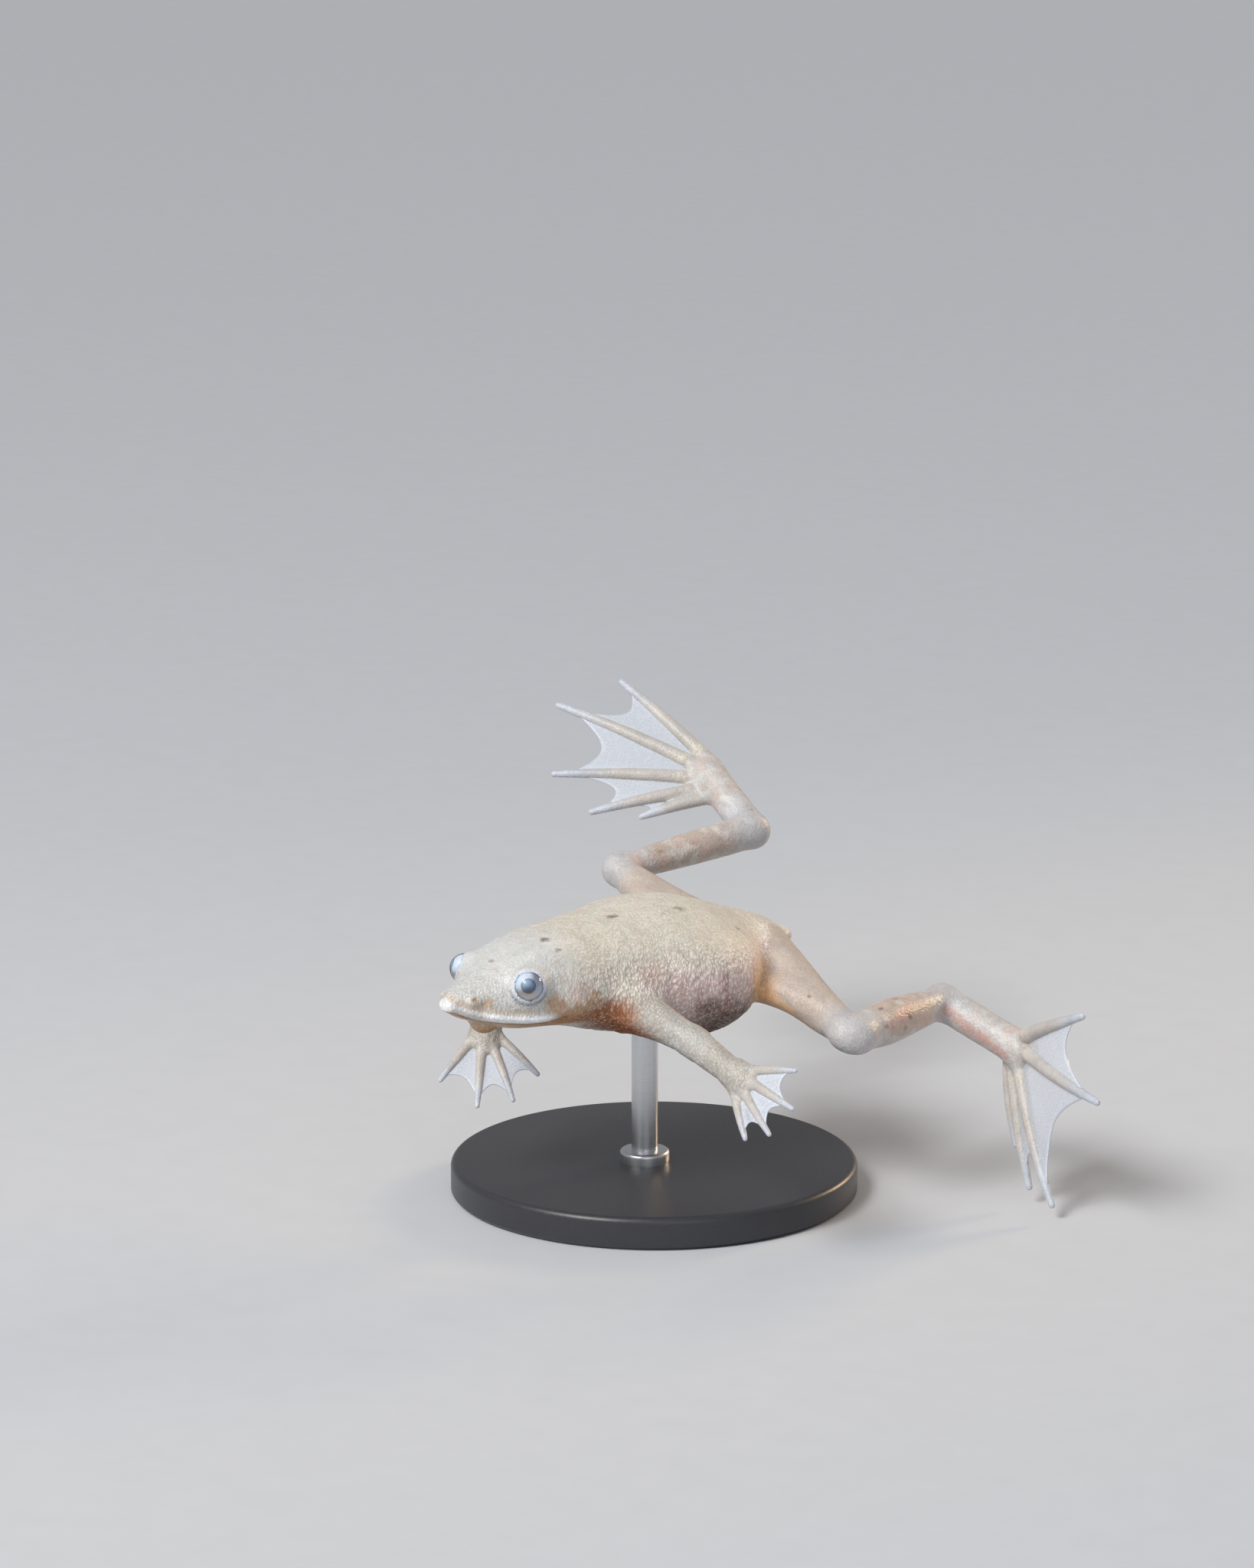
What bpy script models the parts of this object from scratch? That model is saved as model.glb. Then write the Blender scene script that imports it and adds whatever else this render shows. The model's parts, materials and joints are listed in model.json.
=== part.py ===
"""A still, life-size model of an African dwarf frog swimming, held over a plain stand.

Lengths are metres. The animal is built round its own mid-body point, with +X to its left, +Y towards
its tail and +Z up, and that point is then set over the middle of the stand's base.
"""

import math

import bmesh
import bpy
from mathutils import Matrix, Vector

# Overall sizes
SNOUT_TO_VENT = 0.0353
SNOUT_AHEAD = 0.0231  # from the mid-body point to the tip of the snout
BODY_HEIGHT = 0.0172  # of the mid-body point over the floor
BODY_BACK = 0.0020  # of the mid-body point behind the middle of the base
GAP = 0.0003  # between nodes that meet
SOCKET_GAP = 0.00015  # between an eye and its socket
WEB_THICKNESS = 0.0005

# Lengths of the limb bones, the same on both sides
THIGH, SHIN, TARSUS = 0.0125, 0.0125, 0.0076
UPPER_ARM, FOREARM = 0.0060, 0.0054

# Digits from the innermost out: length, then where each leaves the paddle, sideways and forwards of its root
TOES = (
    (0.0065, -0.00195, -0.0011),
    (0.0100, -0.00130, -0.0005),
    (0.0126, -0.00055, -0.0001),
    (0.0140, 0.00025, 0.0001),
    (0.0112, 0.00095, -0.0002),
)
FINGERS = (
    (0.0049, -0.00070, -0.0002),
    (0.0059, -0.00025, 0.0001),
    (0.0062, 0.00025, 0.0001),
    (0.0050, 0.00070, -0.0001),
)

# Where the limbs leave the trunk, on the left side
HIP = Vector((0.0030, 0.0069, 0.0004))
SHOULDER = Vector((0.0046, -0.0087, -0.0006))

# Eyes
EYE_RADIUS = 0.00112
LID_THICKNESS = 0.00015
EYE_CENTRE = Vector((0.0035, -0.0181, 0.0025))
EYE_BEARING, EYE_RISE = 47, 16

# Face
NOSTRIL = Vector((0.00160, -0.02165, 0.00162))
# Middles and half lengths of the knob on the snout's tip, the throat and the knob over the vent
SNOUT_KNOB = Vector((0, -0.02285, 0.00126)), Vector((0.00085, 0.00050, 0.00056))
THROAT = Vector((0, -0.0193, -0.00040)), Vector((0.00105, 0.00120, 0.00110))
VENT_KNOB = Vector((0, 0.01145, 0.00045)), Vector((0.00095, 0.00078, 0.00066))
MOUTH_RADIUS = 0.00012
# Along the mouth's left half, in millimetres along and up the body, and at its middle
MOUTH = ((-15.0, -0.25), (-16.3, -0.46), (-18.0, -0.44), (-19.8, -0.22), (-21.4, 0.14), (-22.4, 0.56))
MOUTH_MIDDLE = Vector((0, -0.0230, 0.00090))

# Stand
BASE_RADIUS, BASE_THICKNESS, BASE_BEVEL = 0.0155, 0.0025, 0.0005
ROD_RADIUS = 0.0010
ROD_AT = Vector((0.0, -0.0010, 0.0))

TRUNK_SIDES = 32
LIMB_SIDES = 12
DIGIT_SIDES = 6

# Trunk stations from snout to vent, each a fraction of the snout-to-vent length back from the snout, then
# half width, top, bottom and the height of the widest line in millimetres, then how square the section is
# above and below that line, where 2 is round
TRUNK_STATIONS = (
    (0.000, 0.30, 1.90, 1.05, 1.50, 2.0, 2.0),
    (0.008, 0.80, 2.15, 0.72, 1.35, 2.1, 2.0),
    (0.030, 1.45, 2.50, 0.20, 1.00, 2.2, 2.0),
    (0.060, 2.15, 2.90, -0.22, 0.65, 2.3, 2.0),
    (0.100, 3.00, 3.45, -0.70, 0.45, 2.5, 1.9),
    (0.145, 3.75, 4.18, -1.25, 0.35, 2.8, 1.9),
    (0.195, 4.35, 4.88, -1.50, 0.45, 2.8, 1.9),
    (0.250, 4.80, 5.25, -1.75, 0.65, 2.5, 1.9),
    (0.305, 5.00, 5.45, -2.15, 0.85, 2.3, 2.0),
    (0.375, 5.40, 5.50, -2.85, 0.95, 2.3, 2.1),
    (0.455, 6.20, 5.65, -3.55, 0.85, 2.25, 2.1),
    (0.550, 7.30, 5.90, -4.40, 0.55, 2.15, 2.1),
    (0.640, 7.75, 5.70, -5.00, 0.35, 2.0, 2.1),
    (0.710, 7.15, 5.00, -4.75, 0.30, 1.9, 2.1),
    (0.775, 5.25, 4.20, -3.50, 0.40, 1.9, 2.1),
    (0.845, 3.90, 3.35, -2.10, 0.45, 1.95, 2.1),
    (0.915, 2.60, 2.40, -1.15, 0.45, 2.0, 2.1),
    (0.955, 1.50, 1.50, -0.70, 0.40, 2.0, 2.1),
    (0.982, 0.80, 0.90, -0.35, 0.30, 2.0, 2.0),
    (1.000, 0.35, 0.60, -0.05, 0.25, 2.0, 2.0),
)


class Pose:
    """Directions of one limb: bearings from straight ahead round to the left, rises above level."""

    def __init__(self, side, root, mid, end, paddle, splay, thigh_widths=(), shin_widths=()):
        self.side = side  # 1 for the left limb, -1 for the right
        self.root = root  # thigh or upper arm: bearing, rise
        self.mid = mid  # shin or forearm
        self.end = end  # tarsus, or None on an arm
        self.paddle = paddle  # foot or hand: bearing, rise, roll
        self.splay = splay  # of each digit from the paddle's own line
        self.thigh_widths = thigh_widths  # half widths in millimetres of the leg's muscles as they lie
        self.shin_widths = shin_widths


LEFT_LEG = Pose(
    1,
    (78, -17),
    (-169, -1),
    (100, -20),
    (65, -21, 86),
    (-47, -42, -29, 19, 44),
    ((0.0, 2.08), (0.25, 2.02), (0.5, 1.76), (0.75, 1.48), (0.92, 1.22), (1.0, 1.12)),
    ((0.0, 1.17), (0.12, 1.45), (0.35, 1.67), (0.6, 1.51), (0.85, 1.30), (1.0, 1.26)),
)
RIGHT_LEG = Pose(
    -1,
    (-98, 14),
    (168, 7),
    (-103, 26),
    (-53, 5, 44),
    (-27, -22, -6, 19, 38),
    ((0.0, 2.40), (0.25, 2.20), (0.5, 1.88), (0.75, 1.54), (0.92, 1.22), (1.0, 1.10)),
    ((0.0, 1.00), (0.12, 1.10), (0.35, 1.24), (0.6, 1.32), (0.85, 1.36), (1.0, 1.32)),
)
LEFT_ARM = Pose(1, (101, -18), (87, -18), None, (77, -16, 57), (-28, -12, 8, 32))
RIGHT_ARM = Pose(-1, (-92, -19), (35, -22), None, (54, -43, 0), (-39, -14, 8, 38))


def heading(bearing, rise):
    """Unit vector of a bearing and a rise in degrees."""
    b, r = math.radians(bearing), math.radians(rise)
    return Vector((math.sin(b) * math.cos(r), -math.cos(b) * math.cos(r), math.sin(r)))


def paddle_axes(pose):
    """Forward, sideways and upper-face directions of a foot or hand."""
    bearing, rise, roll = pose.paddle
    forward = heading(bearing, rise)
    up = (Vector((0, 0, 1)) - forward * forward.z).normalized()
    across = forward.cross(up) * -pose.side
    turn = math.radians(roll)
    sideways = across * math.cos(turn) + up * math.sin(turn)
    upper = up * math.cos(turn) - across * math.sin(turn)
    return forward, sideways, upper


def along(rows, at):
    """Value at a fraction of the way through rows of (fraction, value, ...), on a smooth curve."""
    last = len(rows) - 1
    k = max(i for i in range(last) if rows[i][0] <= at or i == 0)
    a, b = rows[k], rows[k + 1]
    before, after = rows[max(k - 1, 0)], rows[min(k + 2, last)]
    span = b[0] - a[0]
    t = (at - a[0]) / span
    found = []
    for i in range(1, len(a)):
        slope_a = (b[i] - before[i]) / (b[0] - before[0]) * span
        slope_b = (after[i] - a[i]) / (after[0] - a[0]) * span
        found.append(
            a[i] * (2 * t**3 - 3 * t**2 + 1)
            + b[i] * (3 * t**2 - 2 * t**3)
            + slope_a * (t**3 - 2 * t**2 + t)
            + slope_b * (t**3 - t**2)
        )
    return found


def signed_power(value, power):
    return math.copysign(abs(value) ** power, value)


def trunk_ring(at, swell=0.0):
    """Points of the trunk's section at a fraction of its length, grown outwards by swell."""
    *sizes, square_above, square_below = along(TRUNK_STATIONS, at)
    half_width, top, bottom, widest = (v * 0.001 for v in sizes)
    y = at * SNOUT_TO_VENT - SNOUT_AHEAD
    ring = []
    for k in range(TRUNK_SIDES):
        turn = math.tau * k / TRUNK_SIDES
        upper = math.sin(turn) >= 0
        power = 2 / (square_above if upper else square_below)
        height = (top - widest if upper else widest - bottom) + swell
        x = signed_power(math.cos(turn), power) * (half_width + swell)
        z = widest + signed_power(math.sin(turn), power) * height
        ring.append(Vector((x, y, z)))
    return ring


def trunk_side(y, z):
    """Distance of the trunk's left side from the midline at a place along and up it."""
    at = (y + SNOUT_AHEAD) / SNOUT_TO_VENT
    *sizes, square_above, square_below = along(TRUNK_STATIONS, at)
    half_width, top, bottom, widest = (v * 0.001 for v in sizes)
    upper = z >= widest
    squareness = square_above if upper else square_below
    share = abs(z - widest) / (top - widest if upper else widest - bottom)
    return half_width * (1 - min(share, 1) ** squareness) ** (1 / squareness)


def new_object(name, mesh_maker):
    """A mesh object whose mesh is made by a function that fills a bmesh."""
    bm = bmesh.new()
    mesh_maker(bm)
    bmesh.ops.recalc_face_normals(bm, faces=bm.faces)
    mesh = bpy.data.meshes.new(name)
    bm.to_mesh(mesh)
    bm.free()
    obj = bpy.data.objects.new(name, mesh)
    bpy.context.scene.collection.objects.link(obj)
    return obj


def loft(name, rings):
    """A closed solid through rings of points, with flat ends."""

    def fill(bm):
        rows = [[bm.verts.new(p) for p in ring] for ring in rings]
        for a, b in zip(rows, rows[1:]):
            for k in range(len(a)):
                nxt = (k + 1) % len(a)
                bm.faces.new((a[k], a[nxt], b[nxt], b[k]))
        bm.faces.new(rows[0])
        bm.faces.new(rows[-1])

    return new_object(name, fill)


def ball(name, centre, half_lengths, segments=20):
    """An ellipsoid whose half lengths lie along x, y and z."""

    def fill(bm):
        place = Matrix.Translation(centre) @ Matrix.Diagonal((*half_lengths, 1))
        bmesh.ops.create_uvsphere(
            bm, u_segments=segments, v_segments=segments // 2, radius=1, matrix=place
        )

    return new_object(name, fill)


def sphere(name, centre, radius, segments=20):
    return ball(name, centre, (radius,) * 3, segments)


def tube(name, path, radii, sides, upper=None, thickness=1.0):
    """A solid along a path, with a half width at each point.

    With an upper direction the section is oval, and thickness is its half thickness over its half width,
    one number or one for each point.
    """
    if not isinstance(thickness, (list, tuple)):
        thickness = [thickness] * len(path)
    rings = []
    side = None
    for i, point in enumerate(path):
        ahead = (path[min(i + 1, len(path) - 1)] - path[max(i - 1, 0)]).normalized()
        if upper is not None:
            side = ahead.cross(upper).normalized()
        else:
            side = ahead.orthogonal() if side is None else side - ahead * side.dot(ahead)
            side.normalize()
        thick = side.cross(ahead).normalized()
        ring = []
        for k in range(sides):
            turn = math.tau * k / sides
            reach = side * math.cos(turn) + thick * (math.sin(turn) * thickness[i])
            ring.append(point + reach * radii[i])
        rings.append(ring)
    return loft(name, rings)


def round_ended(start, end, widths, sag=Vector((0, 0, 0)), count=9):
    """Path and half widths of a bone's flesh from start to end, domed beyond both ends.

    widths are (fraction, half width in millimetres) rows, and sag bows the middle of the path.
    """
    line = end - start
    first, last = along(widths, 0.0)[0] * 0.001, along(widths, 1.0)[0] * 0.001
    dome = (0.98, 0.80, 0.45)
    path, radii = [], []
    for back in dome:
        path.append(start - line.normalized() * first * back)
        radii.append(first * math.sqrt(1 - back**2))
    for i in range(count):
        t = i / (count - 1)
        path.append(start + line * t + sag * (4 * t * (1 - t)))
        radii.append(along(widths, t)[0] * 0.001)
    for on in reversed(dome):
        path.append(end + line.normalized() * last * on)
        radii.append(last * math.sqrt(1 - on**2))
    return path, radii


def apply_modifiers(obj):
    graph = bpy.context.evaluated_depsgraph_get()
    mesh = bpy.data.meshes.new_from_object(obj.evaluated_get(graph))
    obj.modifiers.clear()
    obj.data = mesh


def remove(objects):
    for obj in objects:
        bpy.data.objects.remove(obj)


def boolean(obj, others, operation, solver="EXACT"):
    """Joins others to obj or cuts them from it, and removes them."""
    group = bpy.data.collections.new("operands")
    bpy.context.scene.collection.children.link(group)
    for other in others:
        bpy.context.scene.collection.objects.unlink(other)
        group.objects.link(other)
    modifier = obj.modifiers.new("boolean", "BOOLEAN")
    modifier.operation = operation
    modifier.operand_type = "COLLECTION"
    modifier.collection = group
    modifier.solver = solver
    bpy.context.view_layer.update()
    apply_modifiers(obj)
    remove(others)
    bpy.data.collections.remove(group)
    keep_largest(obj)


def keep_largest(obj):
    """Drops every closed surface of obj but the largest, so that it is one body."""
    bm = bmesh.new()
    bm.from_mesh(obj.data)
    unseen, shells = set(bm.verts), []
    while unseen:
        stack, shell = [unseen.pop()], []
        while stack:
            vert = stack.pop()
            shell.append(vert)
            for edge in vert.link_edges:
                other = edge.other_vert(vert)
                if other in unseen:
                    unseen.remove(other)
                    stack.append(other)
        shells.append(shell)
    shells.sort(key=len)
    bmesh.ops.delete(bm, geom=[v for shell in shells[:-1] for v in shell], context="VERTS")
    bm.to_mesh(obj.data)
    bm.free()


def cut_flat(obj, point, outward):
    """Takes away what lies beyond a plane, and closes the cut with a flat face."""
    bm = bmesh.new()
    bm.from_mesh(obj.data)
    geometry = bm.verts[:] + bm.edges[:] + bm.faces[:]
    found = bmesh.ops.bisect_plane(
        bm, geom=geometry, plane_co=point, plane_no=outward, clear_outer=True, dist=1e-7
    )
    rim = [e for e in found["geom_cut"] if isinstance(e, bmesh.types.BMEdge)]
    bmesh.ops.holes_fill(bm, edges=rim, sides=0)
    bmesh.ops.recalc_face_normals(bm, faces=bm.faces)
    bm.to_mesh(obj.data)
    bm.free()
    keep_largest(obj)


def copy_of(obj, name):
    twin = bpy.data.objects.new(name, obj.data.copy())
    bpy.context.scene.collection.objects.link(twin)
    return twin


def part_at(obj_a, obj_b, point, towards_b):
    """Cuts two solids that share a joint by the plane there, leaving the gap between them."""
    half = towards_b * (GAP / 2)
    cut_flat(obj_a, point - half, towards_b)
    cut_flat(obj_b, point + half, -towards_b)


def make_trunk(name, swell=0.0):
    """The head and torso in one, from the snout to the vent."""
    fractions = [0.0, 0.004, 0.01, 0.02]
    fractions += [0.035 + 0.0175 * i for i in range(7)]
    fractions += [0.165 + 0.0275 * i for i in range(29)]
    fractions += [0.96, 0.98, 0.992, 1.0]
    return loft(name, [trunk_ring(at, swell) for at in fractions])


def mouth_line():
    """Points along the mouth from one corner round the snout to the other."""
    half = []
    for y, z in MOUTH:
        half.append(Vector((trunk_side(y * 0.001, z * 0.001), y * 0.001, z * 0.001)))
    return half + [MOUTH_MIDDLE] + [Vector((-p.x, p.y, p.z)) for p in reversed(half)]


def make_head(trunk):
    """The head with its lids, mouth line and nostrils, up to the neck cut."""
    head = copy_of(trunk, "head")
    lumps = [ball("snout_knob", *SNOUT_KNOB, 12), ball("throat", *THROAT, 16)]
    hollows = []
    for side in (1, -1):
        mirror = Matrix.Diagonal((side, 1, 1))
        centre = mirror @ EYE_CENTRE
        gaze = mirror @ heading(EYE_BEARING, EYE_RISE)
        lumps.append(sphere("mound", centre, EYE_RADIUS + SOCKET_GAP + LID_THICKNESS, 20))
        hollows.append(sphere("socket", centre, EYE_RADIUS + SOCKET_GAP, 20))
        hollows.append(make_lid_opening(centre, gaze))
        nostril = mirror @ NOSTRIL
        lumps.append(sphere("nostril_rim", nostril, 0.00040, 10))
        outward = mirror @ heading(40, 40)
        hollows.append(sphere("nostril_hole", nostril + outward * 0.00036, 0.00020, 8))
    boolean(head, lumps, "UNION")
    line = mouth_line()
    hollows.append(tube("mouth", line, [MOUTH_RADIUS] * len(line), 6))
    boolean(head, hollows, "DIFFERENCE")
    return head


def make_lid_opening(centre, gaze):
    """A short cone out of the socket, which leaves the lids as a rim round the eye."""
    inner, outer = EYE_RADIUS * 0.88, EYE_RADIUS * 1.2
    path = [centre + gaze * (EYE_RADIUS * t) for t in (0.25, 0.5, 1.6)]
    return tube("lid_opening", path, [inner * 0.98, inner, outer], 20)


def make_eye(name, side):
    return sphere(name, Matrix.Diagonal((side, 1, 1)) @ EYE_CENTRE, EYE_RADIUS, 20)


def digit_path(root, axes, angle, digit, arch=0.03):
    """Points along a toe or finger from its base in the paddle to its tip, arched a little upwards."""
    forward, sideways, upper = axes
    length, base_across, base_ahead = digit
    lean = math.radians(angle)
    start = root + sideways * base_across + forward * base_ahead
    tip = start + (forward * math.cos(lean) + sideways * math.sin(lean)) * length
    return [start.lerp(tip, t) + upper * (arch * length * 4 * t * (1 - t)) for t in DIGIT_STEPS]


DIGIT_STEPS = (0.0, 0.15, 0.32, 0.5, 0.68, 0.82, 0.93, 0.985, 1.0)
DIGIT_TAPER = (1.0, 1.0, 0.93, 0.84, 0.75, 0.68, 0.6, 0.42, 0.18)


def point_on(path, at):
    """Point at a fraction along a digit's path."""
    for i in range(len(DIGIT_STEPS) - 1):
        if at <= DIGIT_STEPS[i + 1]:
            share = (at - DIGIT_STEPS[i]) / (DIGIT_STEPS[i + 1] - DIGIT_STEPS[i])
            return path[i].lerp(path[i + 1], share)
    return path[-1]


def make_web(name, paths, reach, notch, upper):
    """The web between digits: one thin sheet whose edge is hollowed between each pair."""
    between, rows = 6, 5
    columns = []
    for i in range(len(paths) - 1):
        for k in range(between + (i == len(paths) - 2)):
            u = k / between
            far = reach * (1 - notch * math.sin(math.pi * u) ** 0.7)
            columns.append(
                [
                    point_on(paths[i], far * r / rows).lerp(point_on(paths[i + 1], far * r / rows), u)
                    for r in range(rows + 1)
                ]
            )

    def fill(bm):
        half = upper * (WEB_THICKNESS / 2)
        top = [[bm.verts.new(p + half) for p in column] for column in columns]
        low = [[bm.verts.new(p - half) for p in column] for column in columns]
        for sheet in (top, low):
            for a, b in zip(sheet, sheet[1:]):
                for r in range(rows):
                    bm.faces.new((a[r], b[r], b[r + 1]))
                    bm.faces.new((a[r], b[r + 1], a[r + 1]))
        for c in range(len(columns) - 1):
            for r in (0, rows):
                bm.faces.new((top[c][r], top[c + 1][r], low[c + 1][r], low[c][r]))
        for r in range(rows):
            for c in (0, len(columns) - 1):
                bm.faces.new((top[c][r], top[c][r + 1], low[c][r + 1], low[c][r]))

    return new_object(name, fill)


def make_paddle(name, root, wrist_way, pose, digits, digit_radius, palm_rows, reach, notch):
    """A webbed foot or hand, fused from its palm, digits and web.

    palm_rows give, in millimetres, the distance past the root, the distance sideways, the half width and
    the half thickness. Behind the root the palm follows the limb, and ahead of it the digits.
    """
    axes = paddle_axes(pose)
    forward, sideways, upper = axes
    paths = [digit_path(root, axes, angle, digit) for angle, digit in zip(pose.splay, digits)]
    pieces = []
    for path in paths:
        radii = [digit_radius * t for t in DIGIT_TAPER]
        pieces.append(tube("digit", path, radii, DIGIT_SIDES, upper, 0.9))
    pieces.append(make_web("web", paths, reach, notch, upper))
    palm_path = []
    for past, across, _, _ in palm_rows:
        way = wrist_way if past < 0 else forward
        palm_path.append(root + way * (past * 0.001) + sideways * (across * 0.001))
    radii = [row[2] * 0.001 for row in palm_rows]
    thickness = [row[3] / row[2] for row in palm_rows]
    palm = tube(name, palm_path, radii, LIMB_SIDES, upper, thickness)
    boolean(palm, pieces, "UNION")
    return palm


# Half widths of the limbs in millimetres, at fractions of each bone
TARSUS_WIDTHS = ((0.0, 1.26), (0.25, 1.33), (0.6, 1.33), (1.0, 1.36))
UPPER_ARM_WIDTHS = ((0.0, 2.05), (0.3, 1.58), (0.6, 1.27), (1.0, 1.10))
FOREARM_WIDTHS = ((0.0, 1.10), (0.3, 1.13), (0.65, 1.04), (1.0, 0.96))
THIGH_SAG = 0.0004

# Webs: how far along the digits they reach, and how deeply their edge is hollowed, as shares
FOOT_WEB, HAND_WEB = (0.92, 0.24), (0.82, 0.25)
TOE_RADIUS, FINGER_RADIUS = 0.00058, 0.00040

# Rows of a palm in millimetres: past the root, sideways, half width, half thickness
FOOT_PALM = (
    (-2.6, 0.0, 1.34, 1.25),
    (-1.6, -0.2, 1.48, 1.10),
    (-0.6, -0.5, 1.48, 0.83),
    (0.3, -0.45, 1.50, 0.72),
    (0.9, -0.25, 1.10, 0.56),
    (1.5, 0.0, 0.50, 0.36),
)
HAND_PALM = (
    (-1.0, 0.0, 0.98, 0.85),
    (-0.4, 0.0, 1.05, 0.75),
    (0.2, 0.0, 1.15, 0.65),
    (0.9, 0.0, 0.85, 0.50),
    (1.5, 0.0, 0.40, 0.32),
)
ANKLE_CUT, WRIST_CUT = 0.0019, 0.0004  # back from the paddle's root


def make_segment(name, start, end, widths, sag=Vector((0, 0, 0))):
    path, radii = round_ended(start, end, widths, sag)
    return tube(name, path, radii, LIMB_SIDES)


def make_leg(word, pose):
    """Thigh, shin, tarsus and foot of one hind leg."""
    hip = Matrix.Diagonal((pose.side, 1, 1)) @ HIP
    thigh_way, shin_way, tarsus_way = (heading(*pose.root), heading(*pose.mid), heading(*pose.end))
    knee = hip + thigh_way * THIGH
    ankle = knee + shin_way * SHIN
    root = ankle + tarsus_way * TARSUS
    thigh = make_segment(f"thigh_{word}", hip, knee, pose.thigh_widths, Vector((0, 0, -THIGH_SAG)))
    shin = make_segment(f"shin_{word}", knee, ankle, pose.shin_widths)
    tarsus = make_segment(f"tarsus_{word}", ankle, root, TARSUS_WIDTHS)
    foot = make_paddle(f"foot_{word}", root, tarsus_way, pose, TOES, TOE_RADIUS, FOOT_PALM, *FOOT_WEB)
    part_at(thigh, shin, knee, (thigh_way + shin_way).normalized())
    part_at(shin, tarsus, ankle, (shin_way + tarsus_way).normalized())
    part_at(tarsus, foot, root - tarsus_way * ANKLE_CUT, tarsus_way)
    return [thigh, shin, tarsus, foot]


def make_arm(word, pose):
    """Upper arm, forearm and hand of one fore leg."""
    shoulder = Matrix.Diagonal((pose.side, 1, 1)) @ SHOULDER
    upper_way, fore_way = heading(*pose.root), heading(*pose.mid)
    elbow = shoulder + upper_way * UPPER_ARM
    wrist = elbow + fore_way * FOREARM
    upper = make_segment(f"upper_arm_{word}", shoulder, elbow, UPPER_ARM_WIDTHS)
    fore = make_segment(f"forearm_{word}", elbow, wrist, FOREARM_WIDTHS)
    hand = make_paddle(f"hand_{word}", wrist, fore_way, pose, FINGERS, FINGER_RADIUS, HAND_PALM, *HAND_WEB)
    part_at(upper, fore, elbow, (upper_way + fore_way).normalized())
    part_at(fore, hand, wrist - fore_way * WRIST_CUT, fore_way)
    return [upper, fore, hand]


def make_stand():
    """Flat round base and the rod up to the belly, in the animal's own place."""
    floor = Vector((0, -BODY_BACK, -BODY_HEIGHT))

    def fill_base(bm):
        place = Matrix.Translation(floor + Vector((0, 0, BASE_THICKNESS / 2)))
        bmesh.ops.create_cone(
            bm,
            cap_ends=True,
            segments=64,
            radius1=BASE_RADIUS,
            radius2=BASE_RADIUS,
            depth=BASE_THICKNESS,
            matrix=place,
        )
        rims = [e for e in bm.edges if len({round(v.co.z, 6) for v in e.verts}) == 1]
        bmesh.ops.bevel(bm, geom=rims, offset=BASE_BEVEL, segments=2, affect="EDGES")

    base = new_object("stand_base", fill_base)
    foot = floor + ROD_AT + Vector((0, 0, BASE_THICKNESS + GAP))
    top = Vector((foot.x, foot.y, -0.002))
    rod = tube("stand_rod", [foot, top], [ROD_RADIUS] * 2, 20)
    boolean(rod, [make_trunk("belly_cutter", GAP)], "DIFFERENCE")
    return [base, rod]


def make_frog():
    bpy.context.scene.unit_settings.system = "METRIC"
    trunk = make_trunk("torso")
    head = make_head(trunk)
    neck = Vector((0, -0.0128, 0.0015))
    part_at(head, trunk, neck, heading(180, -8))
    boolean(trunk, [ball("vent_knob", *VENT_KNOB, 14)], "UNION")
    nodes = [trunk, head, make_eye("eye_left", 1), make_eye("eye_right", -1)]
    for limb in (
        make_leg("left", LEFT_LEG),
        make_leg("right", RIGHT_LEG),
        make_arm("left", LEFT_ARM),
        make_arm("right", RIGHT_ARM),
    ):
        boolean(limb[0], [make_trunk("trunk_cutter", GAP)], "DIFFERENCE")
        nodes += limb
    nodes += make_stand()
    return nodes


def finish_material(name, colour, roughness, metallic=0.0):
    material = bpy.data.materials.new(name)
    material.use_nodes = True
    shader = material.node_tree.nodes["Principled BSDF"]
    shader.inputs["Base Color"].default_value = (*colour, 1)
    shader.inputs["Roughness"].default_value = roughness
    shader.inputs["Metallic"].default_value = metallic
    return material


def main():
    remove(list(bpy.data.objects))
    nodes = make_frog()
    skin = finish_material("frog_skin", (0.80, 0.70, 0.58), 0.45)
    eye = finish_material("frog_eye", (0.62, 0.70, 0.78), 0.12)
    base = finish_material("stand_base_finish", (0.03, 0.03, 0.035), 0.4)
    rod = finish_material("stand_rod_finish", (0.55, 0.55, 0.56), 0.3, 1.0)
    home = bpy.data.collections.new("african_dwarf_frog")
    bpy.context.scene.collection.children.link(home)
    for node in nodes:
        node.location = Vector((0, BODY_BACK, BODY_HEIGHT))
        finish = skin
        if node.name.startswith("eye"):
            finish = eye
        elif node.name == "stand_base":
            finish = base
        elif node.name == "stand_rod":
            finish = rod
        node.data.materials.clear()
        node.data.materials.append(finish)
        bpy.context.scene.collection.objects.unlink(node)
        home.objects.link(node)


main()
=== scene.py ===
"""Looks of a still, life-size African dwarf frog that swims over a plain display stand.

The frog is modelled in millimetres round its own mid-body point, with +X to its left, +Y towards its tail
and +Z up. Its flesh is one distance field, which is meshed as one skin. Everything else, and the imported
frame, is in metres with the stand's base on the floor.
"""

from __future__ import annotations

import json
import logging
import math
from dataclasses import dataclass, field, replace
from enum import Enum
from typing import Callable, Protocol

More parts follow.
